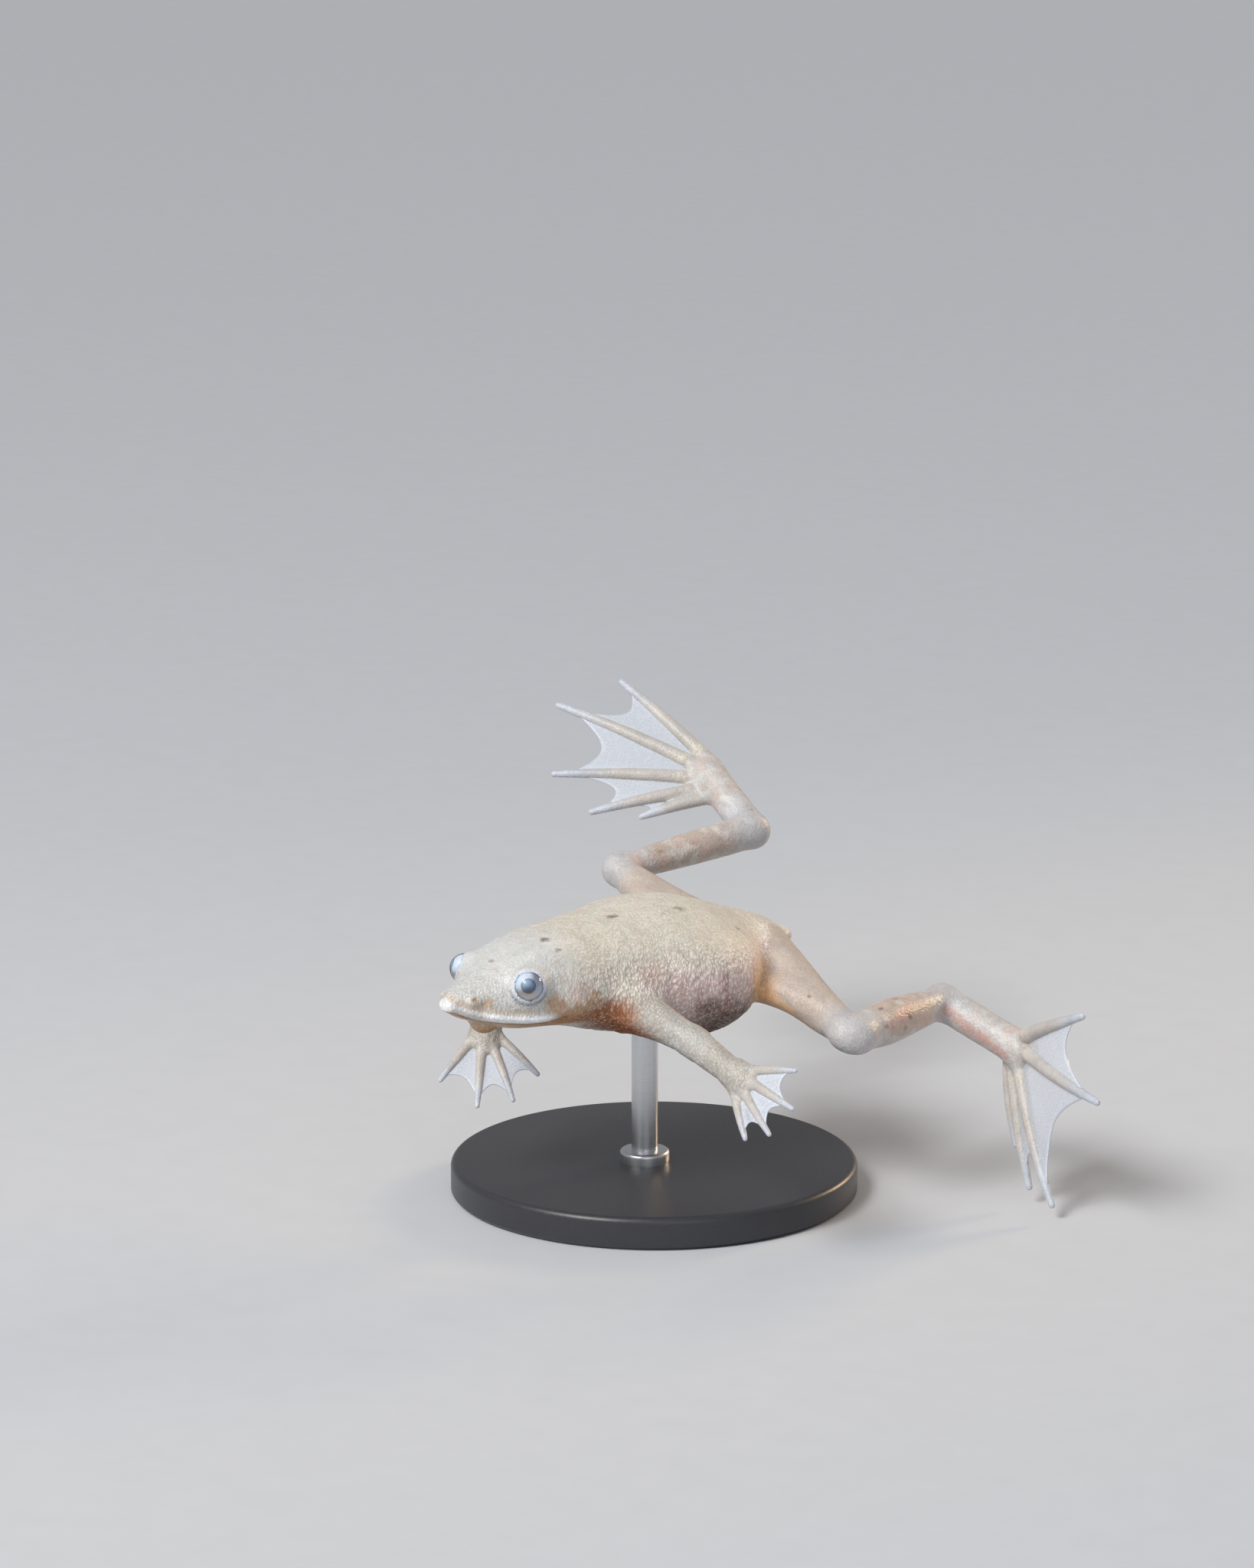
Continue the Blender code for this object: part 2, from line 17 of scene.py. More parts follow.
import bpy
import numpy as np
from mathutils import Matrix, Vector

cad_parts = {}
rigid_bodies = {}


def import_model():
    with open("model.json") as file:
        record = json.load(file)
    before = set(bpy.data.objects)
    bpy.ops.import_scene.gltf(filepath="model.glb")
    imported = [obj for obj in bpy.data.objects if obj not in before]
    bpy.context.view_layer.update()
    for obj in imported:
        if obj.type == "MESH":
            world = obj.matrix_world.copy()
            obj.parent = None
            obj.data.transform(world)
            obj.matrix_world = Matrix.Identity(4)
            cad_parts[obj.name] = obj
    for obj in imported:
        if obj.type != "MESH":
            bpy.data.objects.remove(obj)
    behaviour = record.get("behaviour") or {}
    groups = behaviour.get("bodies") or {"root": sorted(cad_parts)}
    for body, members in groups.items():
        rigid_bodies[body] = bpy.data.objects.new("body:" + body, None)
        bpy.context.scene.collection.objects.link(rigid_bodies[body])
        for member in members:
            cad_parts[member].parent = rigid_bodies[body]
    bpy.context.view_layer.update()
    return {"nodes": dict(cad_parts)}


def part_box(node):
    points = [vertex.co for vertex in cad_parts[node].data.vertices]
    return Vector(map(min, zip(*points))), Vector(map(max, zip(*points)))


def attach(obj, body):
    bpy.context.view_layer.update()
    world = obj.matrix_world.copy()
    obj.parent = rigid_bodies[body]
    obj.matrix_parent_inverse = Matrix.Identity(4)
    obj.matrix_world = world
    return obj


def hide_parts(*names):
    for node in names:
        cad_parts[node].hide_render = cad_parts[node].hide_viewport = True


Array = np.ndarray
Rows = tuple[tuple[float, ...], ...]
Triple = tuple[float, float, float]
Tint = tuple[int, int, int]  # a screen colour, up to 255
Range = tuple[float, float]
Object = bpy.types.Object
Material = bpy.types.Material
Socket = bpy.types.NodeSocket

MM = 0.001
FAR = 9.0  # distance given where a shape is too far off to matter
MID_BODY = np.array((0.0, 2.0, 17.2))  # of the frog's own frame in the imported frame, in millimetres

log = logging.getLogger("frog")


class Side(Enum):
    """Which side of the body a limb or eye is on, with the sign of its x."""

    LEFT = 1
    RIGHT = -1


def heading(bearing: float, rise: float) -> Array:
    """Unit vector of a bearing from straight ahead round to the left and a rise above level, in degrees."""
    b, r = math.radians(bearing), math.radians(rise)
    return np.array((math.sin(b) * math.cos(r), -math.cos(b) * math.cos(r), math.sin(r)))


def mirrored(point: Triple | Array, side: Side) -> Array:
    """A left-hand point or direction, or its mirror image on the right."""
    return np.array((point[0] * side.value, point[1], point[2]))


def unit(vector: Array) -> Array:
    """The vector at length one."""
    return vector / np.linalg.norm(vector)


def length(vectors: Array) -> Array:
    """Length of each row of vectors."""
    return np.sqrt(np.einsum("ij,ij->i", vectors, vectors))


def share_along(points: Array, start: Array, end: Array) -> Array:
    """How far each point is along a straight line, from 0 at its start to 1 at its end."""
    line = end - start
    return np.clip((points - start) @ line / (line @ line), 0, 1)


def ramp(low: float, high: float, value: Array) -> Array:
    """A smooth step from 0 at low to 1 at high, which may be the lower of the two."""
    t = np.clip((value - low) / (high - low), 0, 1)
    return t * t * (3 - 2 * t)


def smooth_min(a: Array, b: Array, blend: float) -> Array:
    """Joins two distances with a fillet where they are within a blend of each other."""
    overlap = np.maximum(blend - np.abs(a - b), 0) / blend
    return np.minimum(a, b) - overlap * overlap * blend / 4


def smooth_cut(a: Array, b: Array, blend: float) -> Array:
    """Cuts shape b out of shape a, with a rounded rim."""
    return -smooth_min(-a, b, blend)


def lattice_hash(cells: Array, seed: int) -> Array:
    """A fixed but irregular number for each cell.

    Args:
        cells: whole-numbered cells, one to a row.
        seed: which set of numbers.

    Returns:
        A number from 0 to 1 for each cell.
    """
    c = cells.astype(np.int64)
    h = c[:, 0] * 73856093 ^ c[:, 1] * 19349663 ^ c[:, 2] * 83492791 ^ (seed * 2654435761)
    h = (h ^ (h >> 13)) * 1274126177
    h = (h ^ (h >> 16)) & 0xFFFFFF
    return h / float(0xFFFFFF)


def cloud(points: Array, size: float, seed: int) -> Array:
    """Smooth noise.

    Args:
        points: places in millimetres.
        size: width of its patches in millimetres.
        seed: which noise.

    Returns:
        A value from -1 to 1 for each place.
    """
    scaled = points / size
    base = np.floor(scaled)
    t = scaled - base
    t = t * t * (3 - 2 * t)
    total = np.zeros(len(points))
    for corner in np.ndindex(2, 2, 2):
        share = np.prod(np.where(np.array(corner), t, 1 - t), axis=1)
        total += share * lattice_hash(base + corner, seed)
    return total * 2 - 1


def clouds(points: Array, layers: Rows, seed: int, base: float = 0.0) -> Array:
    """Adds up layers of smooth noise.

    Args:
        points: places in millimetres.
        layers: the size and strength of each layer.
        seed: which noise the first layer is. The next ones follow it.
        base: the value to which they are added.

    Returns:
        The sum for each place.
    """
    total = np.full(len(points), base)
    for k, (size, strength) in enumerate(layers):
        total += cloud(points, size, seed + k) * strength
    return total


def granule_field(points: Array, size: float, seed: int) -> Array:
    """Rounded bumps set close together.

    Args:
        points: places in millimetres.
        size: distance between the bumps in millimetres.
        seed: which set of bumps.

    Returns:
        A height from 0 between the bumps to 1 on their tops, for each place.
    """
    scaled = points / size
    base = np.floor(scaled)
    nearest = np.full(len(points), 9.0)
    for step in np.ndindex(3, 3, 3):
        cell = base + np.array(step) - 1
        offset = np.stack([lattice_hash(cell, seed + k) for k in range(3)], axis=1)
        nearest = np.minimum(nearest, length(scaled - cell - offset))
    return np.clip(1 - nearest / 0.72, 0, 1)


@dataclass(frozen=True)
class Profile:
    """Sizes that change smoothly along a part, from rows of (fraction, size, ...)."""

    rows: Rows
    samples: int = 500

    def curve(self) -> tuple[Array, Array]:
        """Samples the smooth curve through the rows.

        Returns:
            The fractions, and a column of sizes for each size in a row.
        """
        rows = np.array(self.rows)
        at, sizes = rows[:, 0], rows[:, 1:]
        slopes = np.empty_like(sizes)
        slopes[1:-1] = (sizes[2:] - sizes[:-2]) / (at[2:] - at[:-2])[:, None]
        slopes[0] = (sizes[1] - sizes[0]) / (at[1] - at[0])
        slopes[-1] = (sizes[-1] - sizes[-2]) / (at[-1] - at[-2])
        where = np.linspace(at[0], at[-1], self.samples)
        k = np.clip(np.searchsorted(at, where, side="right") - 1, 0, len(at) - 2)
        span = (at[k + 1] - at[k])[:, None]
        t = (where - at[k])[:, None] / span
        found = sizes[k] * (2 * t**3 - 3 * t**2 + 1) + sizes[k + 1] * (3 * t**2 - 2 * t**3)
        found += slopes[k] * span * (t**3 - 2 * t**2 + t) + slopes[k + 1] * span * (t**3 - t**2)
        return where, found

    def reader(self) -> Callable[[Array], list[Array]]:
        """A quick function from fractions to the sizes there."""
        where, found = self.curve()
        return lambda at: [np.interp(at, where, column) for column in found.T]


class Shape(Protocol):
    """Anything with a distance in millimetres and a box round it."""

    def box(self) -> tuple[Array, Array]:
        """Lowest and highest corner."""

    def distance(self, points: Array) -> Array:
        """Distance of each point from the surface, negative inside."""


def box_round(points: list[Array], reach: float) -> tuple[Array, Array]:
    """Lowest and highest corner of points, grown by a reach."""
    stack = np.array(points)
    return stack.min(axis=0) - reach, stack.max(axis=0) + reach


@dataclass
class Trunk:
    """Head and body from snout to vent, as superellipse sections.

    Each station is a fraction of the length back from the snout, then half width, top, bottom and the
    height of the widest line, then how square the section is above and below that line, where 2 is round.
    """

    snout_to_vent: float = 35.3
    snout_ahead: float = 23.1
    stations: Rows = (
        (0.000, 0.30, 1.90, 1.05, 1.50, 2.0, 2.0),
        (0.008, 0.80, 2.15, 0.72, 1.35, 2.1, 2.0),
        (0.030, 1.45, 2.50, 0.20, 1.00, 2.2, 2.0),
        (0.060, 2.15, 2.90, -0.22, 0.65, 2.3, 2.0),
        (0.100, 3.00, 3.45, -0.70, 0.45, 2.5, 1.9),
        (0.145, 3.75, 4.18, -1.25, 0.35, 2.8, 1.9),
        (0.195, 4.35, 4.88, -1.50, 0.45, 2.8, 1.9),
        (0.250, 4.80, 5.25, -1.75, 0.65, 2.5, 1.9),
        (0.305, 5.00, 5.45, -2.15, 0.85, 2.3, 2.0),
        (0.375, 5.40, 5.50, -2.85, 0.95, 2.3, 2.1),
        (0.455, 6.20, 5.65, -3.55, 0.85, 2.25, 2.1),
        (0.550, 7.30, 5.90, -4.40, 0.55, 2.15, 2.1),
        (0.640, 7.75, 5.70, -5.00, 0.35, 2.0, 2.1),
        (0.710, 7.15, 5.00, -4.75, 0.30, 1.9, 2.1),
        (0.775, 5.25, 4.20, -3.50, 0.40, 1.9, 2.1),
        (0.845, 3.90, 3.35, -2.10, 0.45, 1.95, 2.1),
        (0.915, 2.60, 2.40, -1.15, 0.45, 2.0, 2.1),
        (0.955, 1.50, 1.50, -0.70, 0.40, 2.0, 2.1),
        (0.982, 0.80, 0.90, -0.35, 0.30, 2.0, 2.0),
        (1.000, 0.35, 0.60, -0.05, 0.25, 2.0, 2.0),
    )
    slope_step: float = 0.02
    slope_floor: float = 0.5

    def __post_init__(self) -> None:
        """Prepares the quick reader of the stations."""
        self.sizes = Profile(self.stations).reader()

    def box(self) -> tuple[Array, Array]:
        """Lowest and highest corner.

        Returns:
            The two corners in millimetres.
        """
        tall = max(row[2] for row in self.stations)
        low = min(row[3] for row in self.stations)
        wide = max(row[1] for row in self.stations)
        back = self.snout_to_vent - self.snout_ahead
        return np.array((-wide, -self.snout_ahead, low)), np.array((wide, back, tall))

    def section(self, points: Array) -> Array:
        """Distance along the spoke from the section's middle, not yet allowing for the slope along the body.

        Args:
            points: places in millimetres.

        Returns:
            One rough distance for each.
        """
        at = (points[:, 1] + self.snout_ahead) / self.snout_to_vent
        half_width, top, bottom, widest, square_above, square_below = self.sizes(np.clip(at, 0, 1))
        x = np.abs(points[:, 0])
        z = points[:, 2] - widest
        upper = z >= 0
        height = np.where(upper, top - widest, widest - bottom)
        square = np.where(upper, square_above, square_below)
        share = ((x / half_width) ** square + (np.abs(z) / height) ** square) ** (1 / square)
        spoke = np.hypot(x, z) + 1e-3
        found = spoke * (1 - 1 / np.maximum(share, 1e-3))
        beyond = np.maximum(-at, at - 1) * self.snout_to_vent
        return np.where(beyond > 0, np.hypot(np.maximum(found, 0), beyond), found)

    def distance(self, points: Array) -> Array:
        """Distance of each point from the surface, negative inside.

        Args:
            points: places in millimetres.

        Returns:
            One distance for each place.
        """
        here = self.section(points)
        slope = np.zeros(len(points))
        for step in np.eye(3) * self.slope_step:
            slope += ((self.section(points + step) - here) / self.slope_step) ** 2
        return here / np.maximum(np.sqrt(slope), self.slope_floor)

    def side_at(self, y: float, z: float) -> float:
        """Half width of the trunk at one place.

        Args:
            y: the place along the body.
            z: its height.

        Returns:
            The half width in millimetres.
        """
        at = np.array(((y + self.snout_ahead) / self.snout_to_vent,))
        half_width, top, bottom, widest, above, below = (v[0] for v in self.sizes(at))
        square = above if z >= widest else below
        share = abs(z - widest) / (top - widest if z >= widest else widest - bottom)
        return half_width * (1 - min(share, 1) ** square) ** (1 / square)


@dataclass
class Ball:
    """An ellipsoid whose half lengths lie along x, y and z, or a sphere."""

    centre: Array
    radii: Triple

    def box(self) -> tuple[Array, Array]:
        """Lowest and highest corner."""
        return self.centre - self.radii, self.centre + self.radii

    def distance(self, points: Array) -> Array:
        """Distance of each point from the surface, negative inside.

        Args:
            points: places in millimetres.

        Returns:
            One distance for each place.
        """
        offset = points - self.centre
        share = length(offset / self.radii)
        slope = length(offset / np.square(self.radii))
        return share * (share - 1) / np.maximum(slope, 1e-3)


@dataclass
class Ring:
    """A torus round an axis."""

    centre: Array
    axis: Array
    major: float
    minor: float

    def box(self) -> tuple[Array, Array]:
        """Lowest and highest corner."""
        return box_round([self.centre], self.major + self.minor)

    def distance(self, points: Array) -> Array:
        """Distance of each point from the surface, negative inside.

        Args:
            points: places in millimetres.

        Returns:
            One distance for each place.
        """
        offset = points - self.centre
        height = offset @ self.axis
        spread = length(offset - height[:, None] * self.axis)
        return np.hypot(spread - self.major, height) - self.minor


@dataclass
class Bone:
    """Flesh round a bone, with half widths along it and a bow in its middle."""

    start: Array
    end: Array
    widths: Rows
    bow: Triple = (0.0, 0.0, 0.0)

    def __post_init__(self) -> None:
        """Prepares the quick reader of the half widths."""
        self.width = Profile(self.widths).reader()

    def box(self) -> tuple[Array, Array]:
        """Lowest and highest corner."""
        reach = max(w for _, w in self.widths) + np.linalg.norm(self.bow)
        return box_round([self.start, self.end], reach)

    def distance(self, points: Array) -> Array:
        """Distance of each point from the surface, negative inside.

        Args:
            points: places in millimetres.

        Returns:
            One distance for each place.
        """
        t = share_along(points, self.start, self.end)
        middle = self.start + t[:, None] * (self.end - self.start)
        middle += (4 * t * (1 - t))[:, None] * np.array(self.bow)
        return length(points - middle) - self.width(t)[0]


@dataclass
class Palm:
    """A flattened palm or sole.

    Each row is a distance past the paddle's root, then its offset sideways, half width and half thickness.
    """

    root: Array
    axes: tuple[Array, Array, Array]
    rows: Rows

    def __post_init__(self) -> None:
        """Prepares the quick reader of the rows."""
        self.sizes = Profile(self.rows).reader()

    def box(self) -> tuple[Array, Array]:
        """Lowest and highest corner.

        Returns:
            The two corners in millimetres.
        """
        ahead = self.axes[0]
        ends = [self.root + ahead * self.rows[0][0], self.root + ahead * self.rows[-1][0]]
        return box_round(ends, max(abs(r[1]) + r[2] for r in self.rows))

    def distance(self, points: Array) -> Array:
        """Distance of each point from the surface, negative inside.

        Args:
            points: places in millimetres.

        Returns:
            One distance for each place.
        """
        offset = points - self.root
        ahead, sideways, above = (offset @ axis for axis in self.axes)
        first, last = self.rows[0][0], self.rows[-1][0]
        middle, half_width, half_thick = self.sizes(np.clip(ahead, first, last))
        across = sideways - middle
        share = np.hypot(across / half_width, above / half_thick)
        found = (np.hypot(across, above) + 1e-3) * (1 - 1 / np.maximum(share, 1e-3))
        beyond = np.maximum(first - ahead, ahead - last)
        return np.where(beyond > 0, np.hypot(np.maximum(found, 0), beyond), found)


@dataclass
class Digit:
    """A toe or finger: tapered, arched a little, slightly flat, with a rounded tip."""

    start: Array
    tip: Array
    upper: Array
    radius: float
    taper: Rows = (
        *((0.0, 1.02), (0.15, 1.00), (0.32, 0.94), (0.5, 0.85)),
        *((0.68, 0.74), (0.82, 0.64), (0.93, 0.54), (1.0, 0.46)),
    )
    arch: float = 0.03
    flatness: float = 0.9

    def __post_init__(self) -> None:
        """Prepares the quick reader of the taper."""
        self.share_of_radius = Profile(self.taper).reader()

    def box(self) -> tuple[Array, Array]:
        """Lowest and highest corner."""
        reach = self.radius * 1.1 + self.arch * np.linalg.norm(self.tip - self.start)
        return box_round([self.start, self.tip], reach)

    def middle(self, t: Array) -> Array:
        """Points of the digit's middle line.

        Args:
            t: fractions from its base to its tip.

        Returns:
            One point for each fraction.
        """
        line = self.tip - self.start
        rise = self.arch * np.linalg.norm(line) * 4 * t * (1 - t)
        return self.start + t[:, None] * line + rise[:, None] * self.upper

    def distance(self, points: Array) -> Array:
        """Distance of each point from the surface, negative inside.

        Args:
            points: places in millimetres.

        Returns:
            One distance for each place.
        """
        t = share_along(points, self.start, self.tip)
        offset = points - self.middle(t)
        height = offset @ self.upper
        spread = np.sqrt(length(offset) ** 2 + height**2 * (1 / self.flatness**2 - 1))
        return spread - self.radius * self.share_of_radius(t)[0]


@dataclass(frozen=True)
class Pose:
    """Directions of one limb as (bearing, rise), and its paddle as (bearing, rise, roll).

    A leg also has the half widths that its thigh and shin show in this pose.
    """

    side: Side
    root: Range
    mid: Range
    end: Range | None
    paddle: Triple
    splay: tuple[float, ...]
    thigh_widths: Rows = ()
    shin_widths: Rows = ()
    knee_spread: float = 0.6

    def axes(self) -> tuple[Array, Array, Array]:
        """Directions of the foot or hand.

        Returns:
            Its forward, sideways and upper directions.
        """
        bearing, rise, roll = self.paddle
        forward = heading(bearing, rise)
        up = unit(np.array((0.0, 0.0, 1.0)) - forward * forward[2])
        across = np.cross(forward, up) * -self.side.value
        turn = math.radians(roll)
        sideways = across * math.cos(turn) + up * math.sin(turn)
        upper = up * math.cos(turn) - across * math.sin(turn)
        return forward, sideways, upper


@dataclass
class Paddle:
    """A foot or hand: a palm with digits that fan out of it, and the webs between them.

    Each digit is its length, then where it leaves the palm, sideways and forwards of the root. The webs are
    given as their reach along the digits and how deeply their edge is notched, both as shares.
    """

    name: str
    root: Array
    pose: Pose
    digits: Rows
    digit_radius: float
    palm_rows: Rows
    web: Range
    tip_margin: float = 0.16

    def __post_init__(self) -> None:
        """Lays out the palm and the digits."""
        self.axes = self.pose.axes()
        forward, sideways, upper = self.axes
        self.palm = Palm(self.root, self.axes, self.palm_rows)
        self.fan: list[Digit] = []
        for (reach, across, ahead), angle in zip(self.digits, self.pose.splay):
            lean = math.radians(angle)
            start = self.root + sideways * across + forward * ahead
            along = forward * math.cos(lean) + sideways * math.sin(lean)
            tip = start + along * (reach - self.tip_margin)
            self.fan.append(Digit(start, tip, upper, self.digit_radius))


@dataclass
class Limb:
    """A leg or arm: its bones from the root out, its paddle, and folds and knobs with their blends."""

    name: str
    bones: list[Bone]
    paddle: Paddle
    extras: list[tuple[Shape, float]] = field(default_factory=list)


@dataclass
class LegSizes:
    """Sizes of both legs, in millimetres, and where the left one leaves the trunk."""

    hip: Triple = (3.0, 6.9, 0.4)
    thigh: float = 12.5
    shin: float = 12.5
    tarsus: float = 7.6
    thigh_sag: float = 0.4
    toes: Rows = (
        (6.5, -1.95, -1.1),
        (10.0, -1.30, -0.5),
        (12.6, -0.55, -0.1),
        (14.0, 0.25, 0.1),
        (11.2, 0.95, -0.2),
    )
    toe_radius: float = 0.58
    knee_radius: float = 1.12
    knee_blend: float = 0.9
    groin_from: float = 2.5
    groin_to: float = 8.0
    groin_ahead: Range = (2.2, 0.8)
    groin_lift: Range = (-0.75, 0.05)
    groin_widths: Rows = ((0, 1.45), (0.5, 1.20), (1, 0.88))
    groin_blend: float = 0.8
    tarsus_widths: Rows = ((0, 1.26), (0.25, 1.33), (0.6, 1.33), (1, 1.36))
    sole: Rows = (
        (-1.0, -0.45, 0.95, 0.85),
        (-0.4, -0.50, 1.40, 0.80),
        (0.3, -0.45, 1.50, 0.72),
        (0.9, -0.25, 1.10, 0.56),
        (1.5, 0.0, 0.50, 0.36),
    )
    web: Range = (0.92, 0.24)

    def build(self, name: str, pose: Pose) -> Limb:
        """Lays one leg out in its pose.

        Args:
            name: left or right, for the names of its pieces.
            pose: its directions.

        Returns:
            The leg.
        """
        hip = mirrored(self.hip, pose.side)
        knee = hip + heading(*pose.root) * self.thigh
        ankle = knee + heading(*pose.mid) * self.shin
        root = ankle + heading(*pose.end) * self.tarsus
        sag = (0.0, 0.0, -self.thigh_sag)
        bones = [
            Bone(hip, knee, pose.thigh_widths, bow=sag),
            Bone(knee, ankle, pose.shin_widths),
            Bone(ankle, root, self.tarsus_widths),
        ]
        foot = Paddle(f"foot_{name}", root, pose, self.toes, self.toe_radius, self.sole, self.web)
        across_knee = unit(-heading(*pose.root) - heading(*pose.mid)) * pose.knee_spread
        cap_widths = ((0, self.knee_radius), (1, self.knee_radius))
        knee_cap = Bone(knee - across_knee, knee + across_knee, cap_widths)
        extras = [(self.groin(hip, pose), self.groin_blend), (knee_cap, self.knee_blend)]
        return Limb(f"leg_{name}", bones, foot, extras)

    def groin(self, hip: Array, pose: Pose) -> Bone:
        """The fold of skin and muscle in front of the thigh's root.

        Args:
            hip: where the thigh starts.
            pose: the leg's directions.

        Returns:
            The fold, as flesh round a line beside the thigh.
        """
        along = heading(*pose.root)
        near, far = (np.array((0.0, -a, up)) for a, up in zip(self.groin_ahead, self.groin_lift))
        start = hip + along * self.groin_from + near
        return Bone(start, hip + along * self.groin_to + far, self.groin_widths)


@dataclass
class ArmSizes:
    """Sizes of both arms, in millimetres, and where the left one leaves the trunk."""

    shoulder: Triple = (4.6, -8.7, -0.6)
    upper_arm: float = 6.0
    forearm: float = 5.4
    fingers: Rows = ((4.9, -0.70, -0.2), (5.9, -0.25, 0.1), (6.2, 0.25, 0.1), (5.0, 0.70, -0.1))
    finger_radius: float = 0.40
    upper_arm_widths: Rows = ((0, 2.05), (0.3, 1.58), (0.6, 1.27), (1, 1.08))
    forearm_widths: Rows = ((0, 1.08), (0.3, 1.13), (0.65, 1.04), (1, 0.94))
    palm: Rows = (
        (-1.0, 0.0, 0.98, 0.85),
        (-0.4, 0.0, 1.05, 0.75),
        (0.2, 0.0, 1.15, 0.65),
        (0.9, 0.0, 0.85, 0.50),
        (1.5, 0.0, 0.40, 0.32),
    )
    web: Range = (0.93, 0.21)

    def build(self, name: str, pose: Pose) -> Limb:
        """Lays one arm out in its pose.

        Args:
            name: left or right, for the names of its pieces.
            pose: its directions.

        Returns:
            The arm.
        """
        shoulder = mirrored(self.shoulder, pose.side)
        elbow = shoulder + heading(*pose.root) * self.upper_arm
        wrist = elbow + heading(*pose.mid) * self.forearm
        bones = [Bone(shoulder, elbow, self.upper_arm_widths), Bone(elbow, wrist, self.forearm_widths)]
        hand = Paddle(f"hand_{name}", wrist, pose, self.fingers, self.finger_radius, self.palm, self.web)
        return Limb(f"arm_{name}", bones, hand)


LEFT_LEG = Pose(
    Side.LEFT,
    (78, -17),
    (-169, -1),
    (100, -20),
    (65, -21, 86),
    (-47, -42, -29, 19, 44),
    ((0, 2.08), (0.25, 2.02), (0.5, 1.76), (0.75, 1.48), (0.92, 1.22), (1, 1.12)),
    ((0, 1.17), (0.12, 1.45), (0.35, 1.67), (0.6, 1.51), (0.85, 1.30), (1, 1.26)),
    0.62,
)
RIGHT_LEG = Pose(
    Side.RIGHT,
    (-98, 14),
    (168, 7),
    (-103, 26),
    (-53, 5, 44),
    (-27, -22, -6, 19, 38),
    ((0, 2.40), (0.25, 2.20), (0.5, 1.88), (0.75, 1.54), (0.92, 1.22), (1, 1.10)),
    ((0, 1.00), (0.12, 1.10), (0.35, 1.24), (0.6, 1.32), (0.85, 1.36), (1, 1.32)),
    0.12,
)
LEFT_ARM = Pose(Side.LEFT, (101, -18), (87, -18), None, (77, -16, 57), (-28, -12, 8, 32))
RIGHT_ARM = Pose(Side.RIGHT, (-92, -19), (35, -22), None, (54, -43, 0), (-39, -14, 8, 38))


@dataclass
class EyeSizes:
    """Where the left eye sits and which way it looks, in millimetres and degrees."""

    centre: Triple = (3.5, -18.1, 2.5)
    bearing: float = 47
    rise: float = 16
    radius: float = 1.12
    mound_radius: float = 1.39
    mound_depth: float = 0.56
    mound_blend: float = 0.8
    cornea_wall: float = 0.05
    socket_bite: float = 0.02
    socket_blend: float = 0.04
    lid_major: float = 1.20
    lid_minor: float = 0.12
    lid_ahead: float = -0.06
    lid_blend: float = 0.24

    def gaze(self, side: Side) -> Array:
        """Direction in which the eye looks."""
        return mirrored(heading(self.bearing, self.rise), side)

    def at(self, side: Side) -> Array:
        """Middle of the eyeball."""
        return mirrored(self.centre, side)


@dataclass
class Face:
    """Mouth line, lips, nostrils and throat, in millimetres on the left half of the head."""

    mouth_points: Rows = (
        *((-15.0, -0.25), (-16.3, -0.46), (-18.0, -0.44)),
        *((-19.8, -0.22), (-21.4, 0.14), (-22.4, 0.56)),
    )
    mouth_front: Triple = (0.0, -23.0, 0.90)
    mouth_samples: int = 61
    groove_depth: float = 0.14
    groove_width: float = 0.10
    lip_rise: float = 0.21
    lip_width: float = 0.30
    lip_above: float = 0.36
    nostril: Triple = (1.60, -21.65, 1.62)
    nostril_way: Range = (40, 40)  # bearing and rise in degrees
    nostril_rim: Triple = (0.35, 0.54, 0.31)
    nostril_rim_blend: float = 0.45
    nostril_hole: Triple = (0.13, 0.32, 0.13)
    nostril_hole_out: float = 0.38
    nostril_hole_blend: float = 0.12
    throat: Ball = field(default_factory=lambda: Ball(np.array((0.0, -19.3, -0.40)), (1.05, 1.20, 1.10)))
    snout_tip: Ball = field(default_factory=lambda: Ball(np.array((0.0, -22.85, 1.26)), (0.85, 0.50, 0.56)))

    def above_mouth(self, points: Array) -> Array:
        """Height of each point over the mouth line beside it."""
        marks = np.array((self.mouth_front[1:], *reversed(self.mouth_points)))
        return points[:, 2] - np.interp(points[:, 1], marks[:, 0], marks[:, 1])

    def outward(self, side: Side) -> Array:
        """Direction in which a nostril opens."""
        return mirrored(heading(*self.nostril_way), side)

    def lip(self, points: Array) -> Array:
        """How far each point lies on the rounded upper lip, from 0 to 1."""
        offset = (self.above_mouth(points) - self.lip_above) / self.lip_width
        return np.exp(-(offset**2)) * ramp(-15.0, -17.0, points[:, 1]) * ramp(-23.2, -22.2, points[:, 1])

    def mouth_line(self, trunk: Trunk) -> Array:
        """Points along the mouth from one corner round the snout to the other.

        Args:
            trunk: the trunk on whose side the line runs.

        Returns:
            Evenly numbered points on a smooth curve.
        """
        left = [(trunk.side_at(y, z), y, z) for y, z in self.mouth_points]
        corners = left + [self.mouth_front] + [(-x, y, z) for x, y, z in reversed(left)]
        at = np.linspace(0, 1, len(corners))
        rows = tuple((float(t), *map(float, p)) for t, p in zip(at, corners))
        columns = Profile(rows).reader()(np.linspace(0, 1, self.mouth_samples))
        return np.stack(columns, axis=1)


def distance_to_line(points: Array, line: Array) -> Array:
    """Distance of each point from a chain of straight steps.

    Args:
        points: places in millimetres.
        line: the chain's points in order.

    Returns:
        One distance for each place.
    """
    nearest = np.full(len(points), FAR)
    for a, b in zip(line, line[1:]):
        t = share_along(points, a, b)
        nearest = np.minimum(nearest, length(points - a - t[:, None] * (b - a)))
    return nearest


